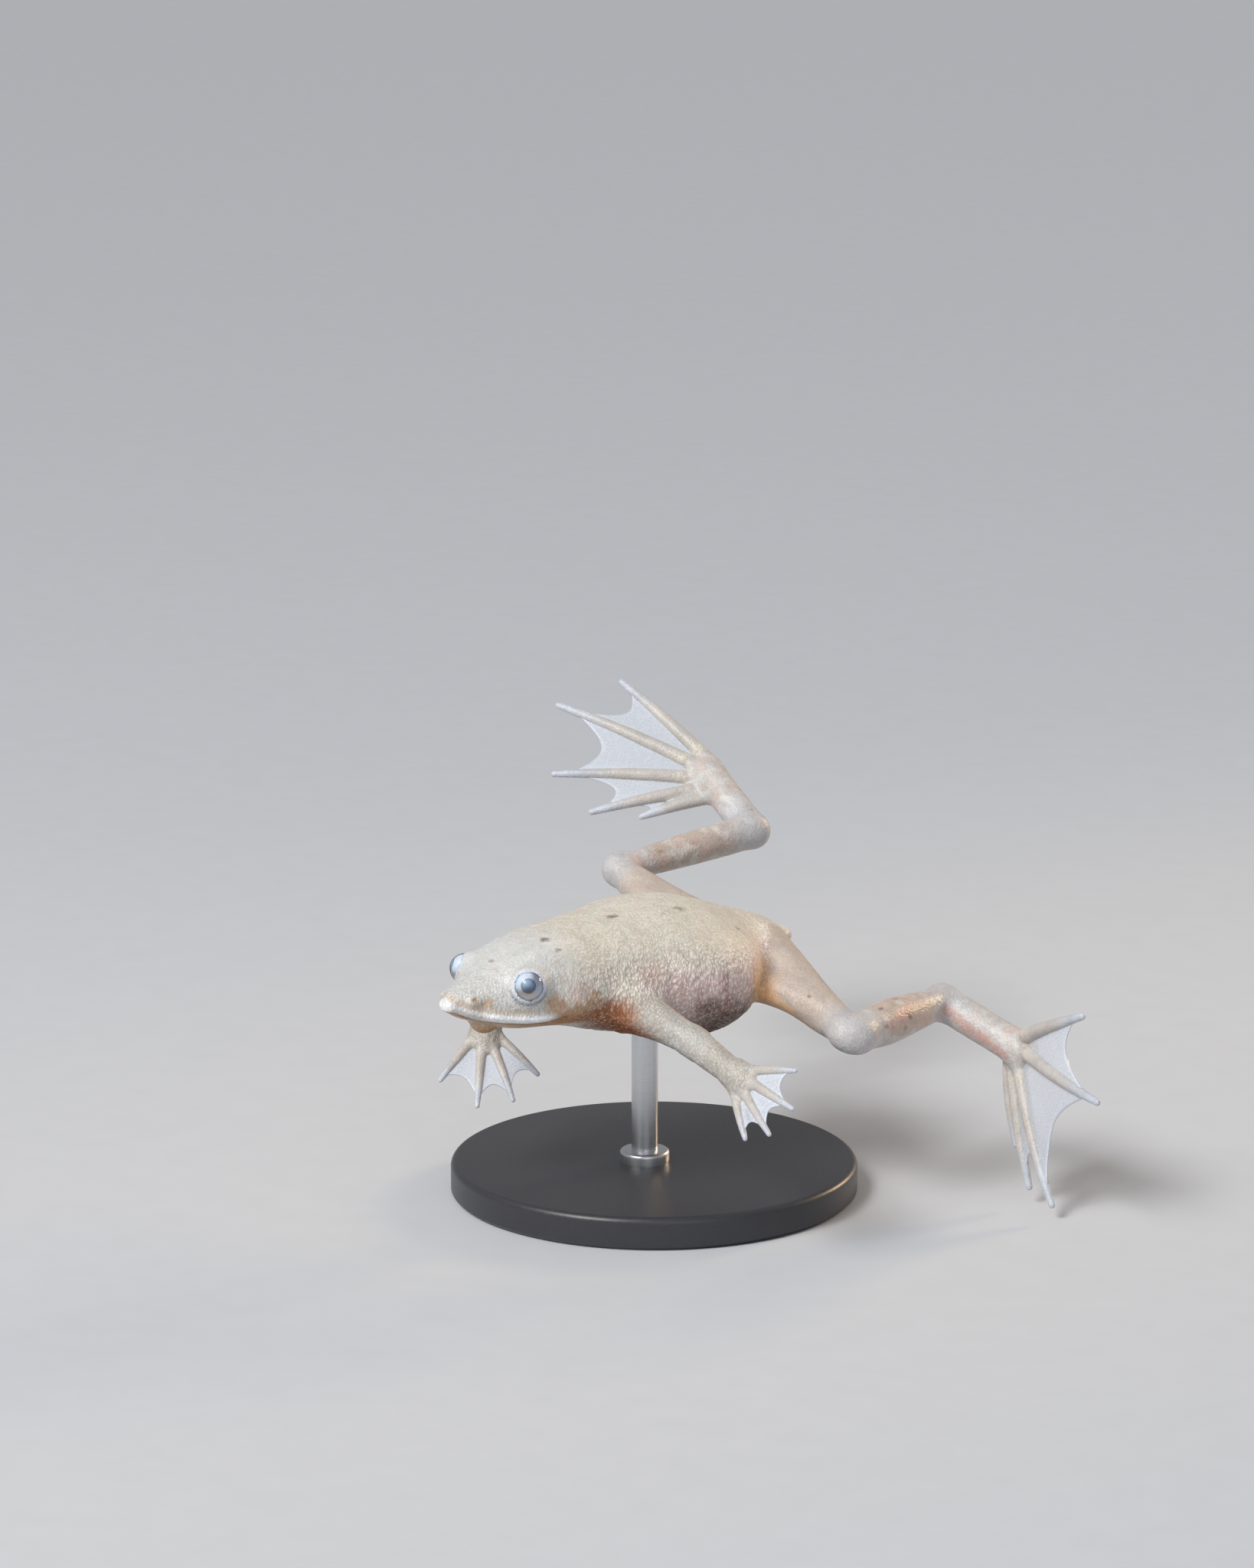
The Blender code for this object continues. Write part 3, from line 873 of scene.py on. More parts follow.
@dataclass
class Blend:
    """A shape of the body, with how softly it joins what is there before it."""

    name: str
    shape: Shape
    blend: float
    margin: float = 0.6
    low: Array = field(init=False)
    high: Array = field(init=False)

    def __post_init__(self) -> None:
        """Keeps the box outside which the shape needs no look."""
        low, high = self.shape.box()
        self.low, self.high = low - self.blend - self.margin, high + self.blend + self.margin

    def near(self, points: Array) -> Array:
        """Which points are close enough to matter."""
        return np.all((points > self.low) & (points < self.high), axis=1)


@dataclass
class FrogBody:
    """The whole flesh as one distance field."""

    trunk: Trunk = field(default_factory=Trunk)
    legs: LegSizes = field(default_factory=LegSizes)
    arms: ArmSizes = field(default_factory=ArmSizes)
    eyes: EyeSizes = field(default_factory=EyeSizes)
    face: Face = field(default_factory=Face)
    hip_blend: float = 1.1
    shoulder_blend: float = 1.3
    joint_blend: float = 0.7
    palm_blend: float = 0.8
    digit_blend: float = 0.45
    vent: Ball = field(default_factory=lambda: Ball(np.array((0.0, 11.45, 0.45)), (0.95, 0.78, 0.66)))
    head_back: float = -13.5
    face_reach: float = 1.5
    face_width: float = 6.0

    def __post_init__(self) -> None:
        """Lays out the limbs, and lists the shapes in the order in which they join."""
        self.limbs = {
            "leg_left": self.legs.build("left", LEFT_LEG),
            "leg_right": self.legs.build("right", RIGHT_LEG),
            "arm_left": self.arms.build("left", LEFT_ARM),
            "arm_right": self.arms.build("right", RIGHT_ARM),
        }
        self.mouth = self.face.mouth_line(self.trunk)
        self.blends = [Blend("trunk", self.trunk, 0.5), Blend("vent", self.vent, 0.3)]
        self.blends.append(Blend("throat", self.face.throat, 0.5))
        self.blends.append(Blend("snout_tip", self.face.snout_tip, 0.2))
        for side in Side:
            self.add_eye_mound(side)
        for limb in self.limbs.values():
            self.add_limb(limb)

    def add_eye_mound(self, side: Side) -> None:
        """Lists the mound that carries one eye.

        Args:
            side: which eye.
        """
        eye = self.eyes
        centre = eye.at(side) - eye.gaze(side) * eye.mound_depth
        self.blends.append(Blend("mound", Ball(centre, (eye.mound_radius,) * 3), eye.mound_blend))

    def add_limb(self, limb: Limb) -> None:
        """Lists a limb's bones, folds, palm and digits from the root out.

        Args:
            limb: the leg or arm.
        """
        root_blend = self.hip_blend if limb.name.startswith("leg") else self.shoulder_blend
        for k, bone in enumerate(limb.bones):
            blend = self.joint_blend if k else root_blend
            self.blends.append(Blend(f"{limb.name}_{k}", bone, blend))
        for k, (shape, blend) in enumerate(limb.extras):
            self.blends.append(Blend(f"{limb.name}_extra_{k}", shape, blend))
        self.blends.append(Blend(f"{limb.name}_palm", limb.paddle.palm, self.palm_blend))
        for k, digit in enumerate(limb.paddle.fan):
            self.blends.append(Blend(f"{limb.name}_digit_{k}", digit, self.digit_blend))

    def box(self) -> tuple[Array, Array]:
        """Lowest and highest corner of all the flesh."""
        lows, highs = zip(*(b.shape.box() for b in self.blends))
        return np.min(lows, axis=0), np.max(highs, axis=0)

    def distance(self, points: Array) -> Array:
        """Distance of each point from the whole skin, negative inside.

        Args:
            points: places in millimetres.

        Returns:
            One distance for each place.
        """
        found = np.full(len(points), FAR)
        for part in self.blends:
            near = part.near(points)
            if near.any():
                found[near] = smooth_min(found[near], part.shape.distance(points[near]), part.blend)
        return self.with_face(points, found)

    def with_face(self, points: Array, found: Array) -> Array:
        """Adds what the head alone has: eye openings and lids, mouth, upper lip and nostrils.

        Args:
            points: places in millimetres.
            found: distance of each from the body so far.

        Returns:
            The distances with the face worked in.
        """
        ahead = points[:, 1] < self.head_back
        on_head = ahead & (np.abs(found) < self.face_reach) & (np.abs(points[:, 0]) < self.face_width)
        if not on_head.any():
            return found
        spots, depth = points[on_head], found[on_head]
        eye, face = self.eyes, self.face
        for side in Side:
            centre, gaze = eye.at(side), eye.gaze(side)
            lid = Ring(centre + gaze * eye.lid_ahead, gaze, eye.lid_major, eye.lid_minor)
            depth = smooth_min(depth, lid.distance(spots), eye.lid_blend)
            socket = Ball(centre, (eye.radius - eye.cornea_wall - eye.socket_bite,) * 3)
            depth = smooth_cut(depth, socket.distance(spots), eye.socket_blend)
            nostril = mirrored(face.nostril, side)
            rim = Ball(nostril, face.nostril_rim)
            depth = smooth_min(depth, rim.distance(spots), face.nostril_rim_blend)
            hole = Ball(nostril + face.outward(side) * face.nostril_hole_out, face.nostril_hole)
            depth = smooth_cut(depth, hole.distance(spots), face.nostril_hole_blend)
        off_mouth = distance_to_line(spots, self.mouth)
        depth -= face.lip_rise * face.lip(spots)
        depth += face.groove_depth * np.exp(-((off_mouth / face.groove_width) ** 2))
        found[on_head] = depth
        return found

    def gradient(self, points: Array, step: float = 0.03) -> Array:
        """Direction in which the distance grows.

        Args:
            points: places in millimetres.
            step: how far apart the field is read.

        Returns:
            A direction for each place, with the slope as its length.
        """
        columns = []
        for axis in np.eye(3) * step:
            columns.append((self.distance(points + axis) - self.distance(points - axis)) / (2 * step))
        return np.stack(columns, axis=1)

    def nearness(self, points: Array) -> dict[str, Array]:
        """How far each point is from every named shape, for the colours.

        Args:
            points: places on the skin in millimetres.

        Returns:
            A distance for each point, by the shape's name.
        """
        found: dict[str, Array] = {}
        for part in self.blends:
            here = np.full(len(points), FAR)
            near = part.near(points)
            here[near] = part.shape.distance(points[near])
            found[part.name] = np.minimum(found.get(part.name, FAR), here)
        return found


@dataclass
class SkinMesher:
    """Turns a distance field into an even mesh of four-sided faces."""

    cell: float = 0.125
    block: int = 8
    chunk: int = 400_000
    settle_rounds: int = 2
    relax: float = 0.5

    def in_chunks(self, body: FrogBody, points: Array) -> Array:
        """Distances of many points, a chunk at a time."""
        parts = [body.distance(points[i : i + self.chunk]) for i in range(0, len(points), self.chunk)]
        return np.concatenate(parts)

    def sampled(self, body: FrogBody) -> tuple[Array, Array]:
        """Samples the field on a grid, closely only near the surface.

        Args:
            body: the field.

        Returns:
            The grid's lowest corner, and the distances with one axis for each direction.
        """
        low, high = body.box()
        low = low - 4 * self.cell
        width = self.cell * self.block
        counts = np.ceil((high + 4 * self.cell - low) / width).astype(int)
        corners = np.stack(np.meshgrid(*map(np.arange, counts), indexing="ij"), axis=-1).reshape(-1, 3)
        middle = low + (corners + 0.5) * width - self.cell / 2
        rough = self.in_chunks(body, middle)
        active = np.abs(rough) < width * math.sqrt(3) / 2 * 1.35 + self.cell
        signs = np.where(rough < 0, -FAR, FAR).astype(np.float32).reshape(counts)
        for axis in range(3):
            signs = np.repeat(signs, self.block, axis=axis)
        steps = np.stack(np.meshgrid(*[np.arange(self.block)] * 3, indexing="ij"), axis=-1).reshape(-1, 3)
        starts = corners[active] * self.block
        places = (starts[:, None, :] + steps[None, :, :]).reshape(-1, 3)
        values = self.in_chunks(body, low + places * self.cell)
        signs[tuple(places.T)] = values
        log.info("field: %d blocks, %d samples", active.sum(), len(values))
        return low, signs

    def surface(self, body: FrogBody) -> tuple[Array, Array]:
        """Makes the mesh.

        Args:
            body: the field.

        Returns:
            The points in millimetres, and four point numbers for each face.
        """
        low, grid = self.sampled(body)
        shape = np.array(grid.shape)
        strides = np.array((shape[1] * shape[2], shape[2], 1))
        inside = grid < 0
        cells, crossings, flips = [], [], []
        for axis in range(3):
            ahead = [slice(None)] * 3
            behind = [slice(None)] * 3
            ahead[axis], behind[axis] = slice(1, None), slice(None, -1)
            where = np.argwhere(inside[tuple(ahead)] != inside[tuple(behind)])
            beyond = where + np.eye(3, dtype=int)[axis]
            a, b = grid[tuple(where.T)], grid[tuple(beyond.T)]
            crossing = where.astype(float)
            crossing[:, axis] += a / (a - b)
            one, two = (axis + 1) % 3, (axis + 2) % 3
            round_edge = np.zeros((4, 3), dtype=int)
            round_edge[1, one] = round_edge[2, one] = -1
            round_edge[2, two] = round_edge[3, two] = -1
            cells.append((where[:, None, :] + round_edge[None]) @ strides)
            crossings.append(crossing)
            flips.append(b < 0)
        cells, crossings, flips = map(np.concatenate, (cells, crossings, flips))
        _, corner = np.unique(cells.ravel(), return_inverse=True)
        corner = corner.reshape(-1)
        count = np.bincount(corner)
        repeated = np.repeat(crossings, 4, axis=0)
        points = np.stack([np.bincount(corner, repeated[:, k]) / count for k in range(3)], axis=1)
        quads = corner.reshape(-1, 4)
        quads[flips] = quads[flips][:, ::-1]
        return self.settled(body, low + points * self.cell, quads), quads

    def settled(self, body: FrogBody, points: Array, quads: Array) -> Array:
        """Evens the points out and sets them exactly on the surface.

        Args:
            body: the field.
            points: the points so far.
            quads: the faces.

        Returns:
            The moved points.
        """
        ends = np.concatenate([quads, np.roll(quads, -1, axis=1)]).T.reshape(-1)
        others = np.concatenate([np.roll(quads, -1, axis=1), quads]).T.reshape(-1)
        count = np.bincount(ends, minlength=len(points))
        for _ in range(self.settle_rounds):
            total = [np.bincount(ends, points[others, k], len(points)) for k in range(3)]
            mean = np.stack(total, axis=1) / count[:, None]
            points = points + (mean - points) * self.relax
            slope = body.gradient(points)
            share = self.in_chunks(body, points) / np.maximum(np.einsum("ij,ij->i", slope, slope), 0.2)
            shift = slope * share[:, None]
            far = np.maximum(length(shift) / self.cell, 1)
            points = points - shift / far[:, None]
        return points


def make_object(name: str, points: Array, faces: Array | list) -> Object:
    """Makes a mesh object that rides with the model.

    Args:
        name: the piece's name.
        points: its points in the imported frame, in metres.
        faces: point numbers of each face.

    Returns:
        The new object.
    """
    mesh = bpy.data.meshes.new(name)
    listed = faces if isinstance(faces, list) else faces.tolist()
    mesh.from_pydata(points.tolist(), [], listed)
    mesh.update()
    mesh.shade_smooth()
    obj = bpy.data.objects.new(name, mesh)
    bpy.context.scene.collection.objects.link(obj)
    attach(obj, "root")
    return obj


def to_frame(points: Array) -> Array:
    """Points of the frog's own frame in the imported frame, in metres."""
    return (points + MID_BODY) * MM


def set_colours(obj: Object, name: str, colours: Array) -> None:
    """Stores a colour for each point under a name that materials read.

    Args:
        obj: the piece.
        name: the colours' name.
        colours: one linear colour for each point.
    """
    layer = obj.data.color_attributes.new(name=name, type="FLOAT_COLOR", domain="POINT")
    solid = np.concatenate([colours, np.ones((len(colours), 1))], axis=1)
    layer.data.foreach_set("color", solid.ravel())


def set_values(obj: Object, name: str, values: Array) -> None:
    """Stores a number for each point under a name that materials read."""
    layer = obj.data.attributes.new(name=name, type="FLOAT", domain="POINT")
    layer.data.foreach_set("value", values.astype(float))


def from_screen(colour: Tint) -> Array:
    """Linear colour of a screen colour given as numbers up to 255."""
    c = np.array(colour) / 255
    return np.where(c <= 0.04045, c / 12.92, ((c + 0.055) / 1.055) ** 2.4)


def rgba(colour: Tint) -> tuple[float, ...]:
    """A screen colour as a linear socket colour."""
    return (*map(float, from_screen(colour)), 1.0)


class NodeKit:
    """A material and short ways to add and join its nodes."""

    def __init__(self, name: str) -> None:
        """Makes an empty material with its output node.

        Args:
            name: the material's name.
        """
        self.material = bpy.data.materials.new(name)
        self.material.use_nodes = True
        self.tree = self.material.node_tree
        self.tree.nodes.clear()
        self.out = self.tree.nodes.new("ShaderNodeOutputMaterial")

    def add(self, kind: str, inputs: dict | None = None, **settings: object) -> bpy.types.Node:
        """Adds a node.

        Args:
            kind: Blender's name of the node's type.
            inputs: values or output sockets for its named or numbered inputs.
            settings: its other properties.

        Returns:
            The new node.
        """
        node = self.tree.nodes.new(kind)
        for key, value in settings.items():
            setattr(node, key, value)
        for key, value in (inputs or {}).items():
            if isinstance(value, Socket):
                self.tree.links.new(value, node.inputs[key])
            else:
                node.inputs[key].default_value = value
        return node

    def math(self, operation: str, *values: float | Socket) -> Socket:
        """Adds a sum of numbers or sockets and returns its result."""
        return self.add("ShaderNodeMath", dict(enumerate(values)), operation=operation).outputs[0]

    def product(self, *values: float | Socket) -> Socket:
        """Adds the product of its values, multiplied from the last to the first, and returns it."""
        first, *others = values
        return self.math("MULTIPLY", first, self.product(*others)) if others else first

    def vector(self, operation: str, inputs: dict) -> Socket:
        """Adds a sum of vectors and returns its result."""
        return self.add("ShaderNodeVectorMath", inputs, operation=operation).outputs[0]

    def mix(self, factor: float | Socket, a: object, b: object, blend: str = "MIX") -> Socket:
        """Adds a mix of two colours and returns its result."""
        inputs = {0: factor, 6: a, 7: b}
        return self.add("ShaderNodeMix", inputs, data_type="RGBA", blend_type=blend).outputs[2]

    def span(self, value: Socket, before: Range, after: Range, **settings: object) -> Socket:
        """Adds a change from one range to another, never beyond the second, and returns the result."""
        ends = dict(zip(("From Min", "From Max", "To Min", "To Max"), (*before, *after)))
        return self.add("ShaderNodeMapRange", {"Value": value, **ends}, **settings).outputs[0]

    def noise(self, place: Socket, size: float, detail: float) -> bpy.types.Node:
        """Adds smooth noise with patches of a size in metres."""
        inputs = {"Vector": place, "Scale": 1 / size, "Detail": detail}
        return self.add("ShaderNodeTexNoise", inputs)

    def cells(self, place: Socket, size: float, **settings: object) -> bpy.types.Node:
        """Adds close-set cells of a size in metres."""
        return self.add("ShaderNodeTexVoronoi", {"Vector": place, "Scale": 1 / size}, **settings)

    def stretched(self, place: Socket, scale: Triple) -> Socket:
        """Adds a stretch of the coordinates and returns the new ones."""
        return self.add("ShaderNodeMapping", {"Vector": place, "Scale": scale}).outputs[0]

    def bump(self, height: Socket, strength: float = 1.0, distance: float = 1.0) -> Socket:
        """Adds relief and returns the normal. The distance is in metres for each 1 of height."""
        inputs = {"Height": height, "Strength": strength, "Distance": distance}
        return self.add("ShaderNodeBump", inputs).outputs["Normal"]

    def stored(self, name: str) -> Socket:
        """Adds a reader of a stored number."""
        return self.add("ShaderNodeAttribute", attribute_name=name).outputs["Fac"]

    def stored_tint(self) -> Socket:
        """Adds a reader of the stored colour."""
        return self.add("ShaderNodeAttribute", attribute_name="tint").outputs["Color"]

    def place(self) -> Socket:
        """Adds the surface's own coordinates, in metres."""
        return self.add("ShaderNodeTexCoord").outputs["Object"]

    def finish(self, shader: Socket) -> Material:
        """Joins the last shader to the output and returns the material."""
        self.tree.links.new(shader, self.out.inputs["Surface"])
        return self.material

    def surface(self, inputs: dict) -> Material:
        """Adds the usual shader as the last one and returns the material."""
        return self.finish(self.add("ShaderNodeBsdfPrincipled", inputs).outputs["BSDF"])


@dataclass(frozen=True)
class SkinFinish:
    """Moist, granular frog skin. Sizes and heights are metres."""

    wander_size: float = 0.0012
    wander: float = 0.00030
    granule_size: float = 0.00021
    granule_stretch: Triple = (1.10, 1.10, 0.62)
    granule_edge: Range = (0.20, 0.72)
    granule_height: float = 0.000045
    # Granule tops are lightened: partly their own whitish colour, partly a painted glint of wet skin.
    top_and_glint_from: Range = (0.30, 0.75)
    top_and_glint_to: Range = (0.10, 1.0)
    top_and_glint_strength: float = 0.48
    # Gaps between granules are painted darker: partly the skin's own darker ground, partly painted shade in
    # the hollows.
    gap_tone_and_shade_strength: float = 0.55
    gap_tone_and_shade_tint: Tint = (200, 186, 178)
    pale_top_and_glint_tint: Tint = (222, 214, 202)
    fine_size: float = 0.00016
    fine_height: float = 0.000020
    fine_from: Range = (0.25, 0.75)
    fine_shade: Range = (1.03, 0.93)
    mottle_size: float = 0.0008
    mottle_from: Range = (0.3, 0.7)
    mottle_shade: Range = (0.93, 1.05)
    lump_height: float = 0.00022
    pore_size: float = 0.00015
    pore_edge: Range = (0.20, 0.36)
    pore_rarity: float = 0.60
    dot_tint: Tint = (92, 78, 76)
    wrinkle_size: float = 0.00016
    wrinkle_stretch: Triple = (1.0, 0.35, 1.0)
    wrinkle_height: float = 0.000030
    roughness: Range = (0.36, 0.56)

    def granules(self, kit: NodeKit, place: Socket) -> tuple[Socket, Socket]:
        """Adds the pattern of granules.

        Args:
            kit: the material.
            place: the surface's own coordinates.

        Returns:
            A height from 0 to 1, and how strongly each granule's top is lightened, by its own pale colour and
            a painted glint.
        """
        noise = kit.noise(place, self.wander_size, 1.0)
        swing = kit.vector("SUBTRACT", {0: noise.outputs["Color"], 1: (0.5, 0.5, 0.5)})
        bent = kit.vector("ADD", {0: place, 1: kit.vector("SCALE", {0: swing, "Scale": self.wander})})
        cells = kit.cells(kit.stretched(bent, self.granule_stretch), self.granule_size)
        smooth = "SMOOTHSTEP"
        dome = kit.span(cells.outputs["Distance"], self.granule_edge, (1.0, 0.0), interpolation_type=smooth)
        return dome, kit.span(cells.outputs["Color"], self.top_and_glint_from, self.top_and_glint_to)

    def dots(self, kit: NodeKit, place: Socket) -> Socket:
        """Adds the dark dots, where the skin stores that it has them.

        Args:
            kit: the material.
            place: the surface's own coordinates.

        Returns:
            How far the dots cover the skin.
        """
        pores = kit.cells(place, self.pore_size)
        pore = kit.span(pores.outputs["Distance"], self.pore_edge, (1.0, 0.0))
        rare = kit.math("GREATER_THAN", pores.outputs["Color"], self.pore_rarity)
        return kit.product(kit.product(pore, rare), kit.stored("dots"))

    def material(self) -> Material:
        """The finish as a material.

        Returns:
            A material that reads the stored tint, granules and dots.
        """
        kit = NodeKit("frog_skin")
        place = kit.place()
        grain = kit.stored("granules")
        dome, bright = self.granules(kit, place)
        # Painted shade: the hollows between granules are darkened, over the skin's own darker ground.
        gap_tone_and_shade = kit.product(kit.math("SUBTRACT", 1.0, dome), grain)
        gap_tone_and_shade = kit.product(gap_tone_and_shade, self.gap_tone_and_shade_strength)
        colour = kit.mix(gap_tone_and_shade, kit.stored_tint(), rgba(self.gap_tone_and_shade_tint), "MULTIPLY")
        # Finer cells, darker towards their sunken edges: partly pattern, partly painted shade in the fine
        # grooves.
        grit = kit.cells(place, self.fine_size).outputs["Distance"]
        colour = kit.mix(1.0, colour, kit.span(grit, self.fine_from, self.fine_shade), "MULTIPLY")
        # Painted highlight: granule tops are screened paler, a glint of wet skin over their own whitish
        # colour.
        bright = kit.product(bright, self.top_and_glint_strength)
        pale_top_and_glint = kit.product(kit.product(dome, grain, grain), bright)
        colour = kit.mix(pale_top_and_glint, colour, rgba(self.pale_top_and_glint_tint), "SCREEN")
        mottle = kit.noise(place, self.mottle_size, 4.0).outputs["Fac"]
        colour = kit.mix(1.0, colour, kit.span(mottle, self.mottle_from, self.mottle_shade), "MULTIPLY")
        colour = kit.mix(self.dots(kit, place), colour, rgba(self.dot_tint))
        wrinkles = kit.noise(kit.stretched(place, self.wrinkle_stretch), self.wrinkle_size, 2.5)
        relief = kit.product(dome, grain, self.granule_height)
        relief = kit.math("ADD", relief, kit.product(wrinkles.outputs["Fac"], self.wrinkle_height))
        relief = kit.math("SUBTRACT", relief, kit.product(grit, self.fine_height))
        bump = kit.bump(kit.math("ADD", relief, kit.product(mottle, grain, self.lump_height)))
        return kit.surface(
            {
                "Base Color": colour,
                "Roughness": kit.span(mottle, (0.0, 1.0), self.roughness),
                "IOR": 1.40,
                "Subsurface Weight": 0.32,
                "Subsurface Radius": (1.0, 0.45, 0.25),
                "Subsurface Scale": 0.0006,
                "Coat Weight": 0.25,
                "Coat Roughness": 0.30,
                "Normal": bump,
                "Coat Normal": bump,
            }
        )


@dataclass(frozen=True)
class WebFinish:
    """Thin, wet, see-through web with a frosted grain. Sizes are metres."""

    tint: Tint = (214, 220, 230)
    vein_size: float = 0.0009
    vein_edge: Range = (0.0, 0.07)
    vein_opacity: float = 0.12
    speck_size: float = 0.00012
    speck_from: Range = (0.35, 0.70)
    speck_opacity: Range = (-0.10, 0.16)
    least_opacity: float = 0.05
    most_opacity: float = 0.97

    def material(self) -> Material:
        """The finish as a material.

        Returns:
            A material whose opacity is the stored one with specks and veins added.
        """
        kit = NodeKit("frog_web")
        place = kit.place()
        specks = kit.noise(place, self.speck_size, 3.0).outputs["Fac"]
        veins = kit.cells(place, self.vein_size, feature="DISTANCE_TO_EDGE").outputs["Distance"]
        vein = kit.span(veins, self.vein_edge, (self.vein_opacity, 0.0))
        grain = kit.span(specks, self.speck_from, self.speck_opacity)
        alpha = kit.math("ADD", kit.stored("opacity"), kit.math("ADD", vein, grain))
        limits = {"Value": alpha, "Min": self.least_opacity, "Max": self.most_opacity}
        return kit.surface(
            {
                "Base Color": rgba(self.tint),
                "Roughness": 0.35,
                "IOR": 1.38,
                "Coat Weight": 0.3,
                "Coat Roughness": 0.15,
                "Alpha": kit.add("ShaderNodeClamp", limits).outputs[0],
                "Normal": kit.bump(specks, 0.5, 0.00004),
            }
        )


@dataclass(frozen=True)
class EyeFinish:
    """Wet eyeball that shows the stored iris and pupil colours. Sizes are metres."""

    grain_size: float = 0.00009
    grain_from: Range = (0.3, 0.7)
    grain_shade: Range = (0.86, 1.08)

    def material(self) -> Material:
        """The finish as a material.

        Returns:
            A material that reads the stored tint.
        """
        kit = NodeKit("frog_eye")
        grain = kit.noise(kit.place(), self.grain_size, 2.0).outputs["Fac"]
        shade = kit.span(grain, self.grain_from, self.grain_shade)
        colour = kit.mix(1.0, kit.stored_tint(), shade, "MULTIPLY")
        soft = {"Subsurface Weight": 0.6, "Subsurface Scale": 0.0006}
        return kit.surface({"Base Color": colour, "Roughness": 0.45, **soft})


@dataclass(frozen=True)
class CorneaFinish:
    """Clear wet dome: gloss only, over what lies below."""

    roughness: float = 0.03
    refraction: float = 1.36

    def material(self) -> Material:
        """The finish as a material.

        Returns:
            The new material.
        """
        kit = NodeKit("cornea")
        clear = kit.add("ShaderNodeBsdfTransparent")
        gloss = kit.add("ShaderNodeBsdfGlossy", {"Roughness": self.roughness})
        edge = kit.add("ShaderNodeFresnel", {"IOR": self.refraction})
        inputs = {0: edge.outputs[0], 1: clear.outputs[0], 2: gloss.outputs[0]}
        return kit.finish(kit.add("ShaderNodeMixShader", inputs).outputs[0])


@dataclass(frozen=True)
class BaseFinish:
    """Satin black moulded base with a very fine grain. Sizes are metres."""

    tint: Tint = (44, 44, 47)
    pale_tint: Tint = (56, 56, 60)
    grain_size: float = 0.00025
    roughness: Range = (0.30, 0.46)

    def material(self) -> Material:
        """The finish as a material.

        Returns:
            The new material.
        """
        kit = NodeKit("satin_black")
        grain = kit.noise(kit.place(), self.grain_size, 4.0).outputs["Fac"]
        return kit.surface(
            {
                "Base Color": kit.mix(grain, rgba(self.tint), rgba(self.pale_tint)),
                "Roughness": kit.span(grain, (0.0, 1.0), self.roughness),
                "Normal": kit.bump(grain, 0.25, 0.00002),
            }
        )


@dataclass(frozen=True)
class RodFinish:
    """Steel brushed round the rod. Sizes are metres."""

    tint: Tint = (196, 197, 200)
    pale_tint: Tint = (222, 223, 226)
    line_size: float = 0.00006
    line_stretch: Triple = (0.06, 0.06, 1.0)
    roughness: Range = (0.22, 0.42)

    def material(self) -> Material:
        """The finish as a material.

        Returns:
            The new material.
        """
        kit = NodeKit("brushed_steel")
        place = kit.stretched(kit.place(), self.line_stretch)
        lines = kit.noise(place, self.line_size, 3.0).outputs["Fac"]
        return kit.surface(
            {
                "Base Color": kit.mix(lines, rgba(self.tint), rgba(self.pale_tint)),
                "Metallic": 1.0,
                "Roughness": kit.span(lines, (0.0, 1.0), self.roughness),
                "Normal": kit.bump(lines, 0.3, 0.00001),
            }
        )


@dataclass(frozen=True)
class Patch:
    """A soft-edged oval of colour on the skin, in millimetres and screen colour."""

    centre: Triple
    radii: Triple
    tint: Tint
    strength: float = 1.0
    ragged: float = 0.0
    edge: Range = (1.25, 0.35)
    ragged_size: float = 0.22

    def mirror_image(self) -> Patch:
        """The same patch on the frog's right."""
        x, y, z = self.centre
        return replace(self, centre=(-x, y, z))

    def cover(self, points: Array) -> Array:
        """How much of the patch's colour each point takes.

        Args:
            points: places on the skin in millimetres.

        Returns:
            A share from 0 to the patch's strength for each place.
        """
        reach = length((points - np.array(self.centre)) / np.array(self.radii))
        close = reach < 2 * self.edge[0]
        found = np.zeros(len(points))
        edge = reach[close] + self.ragged * cloud(points[close], self.ragged_size, 51)
        found[close] = self.strength * ramp(*self.edge, edge)
        return found


@dataclass(frozen=True)
class Streak:
    """A soft-edged line of colour on the skin, through places in millimetres, in a screen colour."""

    places: Rows
    width: float
    tint: Tint
    strength: float = 1.0
    ragged: float = 0.0
    edge: Range = (1.25, 0.35)
    ragged_size: float = 0.3

    def mirror_image(self) -> Streak:
        """The same streak on the frog's right."""
        return replace(self, places=tuple((-x, y, z) for x, y, z in self.places))

    def cover(self, points: Array) -> Array:
        """How much of the streak's colour each point takes.

        Args:
            points: places on the skin in millimetres.

        Returns:
            A share from 0 to the streak's strength for each place.
        """
        line = np.array(self.places)
        low, high = line.min(axis=0) - 2 * self.width, line.max(axis=0) + 2 * self.width
        close = np.all((points > low) & (points < high), axis=1)
        found = np.zeros(len(points))
        edge = distance_to_line(points[close], line) / self.width
        edge += self.ragged * cloud(points[close], self.ragged_size, 53)
        found[close] = self.strength * ramp(*self.edge, edge)
        return found


def both(mark: Patch | Streak) -> tuple[Patch | Streak, ...]:
    """A mark on the frog's left, then the same one on its right."""
    return mark, mark.mirror_image()


def fleck(centre: Triple, size: float, tint: Tint, strength: float) -> Patch:
    """A small dark fleck with a ragged edge, from its place and half width in millimetres."""
    return Patch(centre, (size, size * 1.2, size), tint, strength, 0.5)


def over(base: Array, tint: Tint, cover: Array) -> Array:
    """Lays a colour over others, with a cover from 0 to 1 for each point."""
    return base + (from_screen(tint) - base) * cover[:, None]


CHEEK_LINE = ((4.3, -16.3, 0.9), (4.5, -15.2, 0.1), (4.8, -13.8, 0.1), (5.0, -12.9, 0.7))
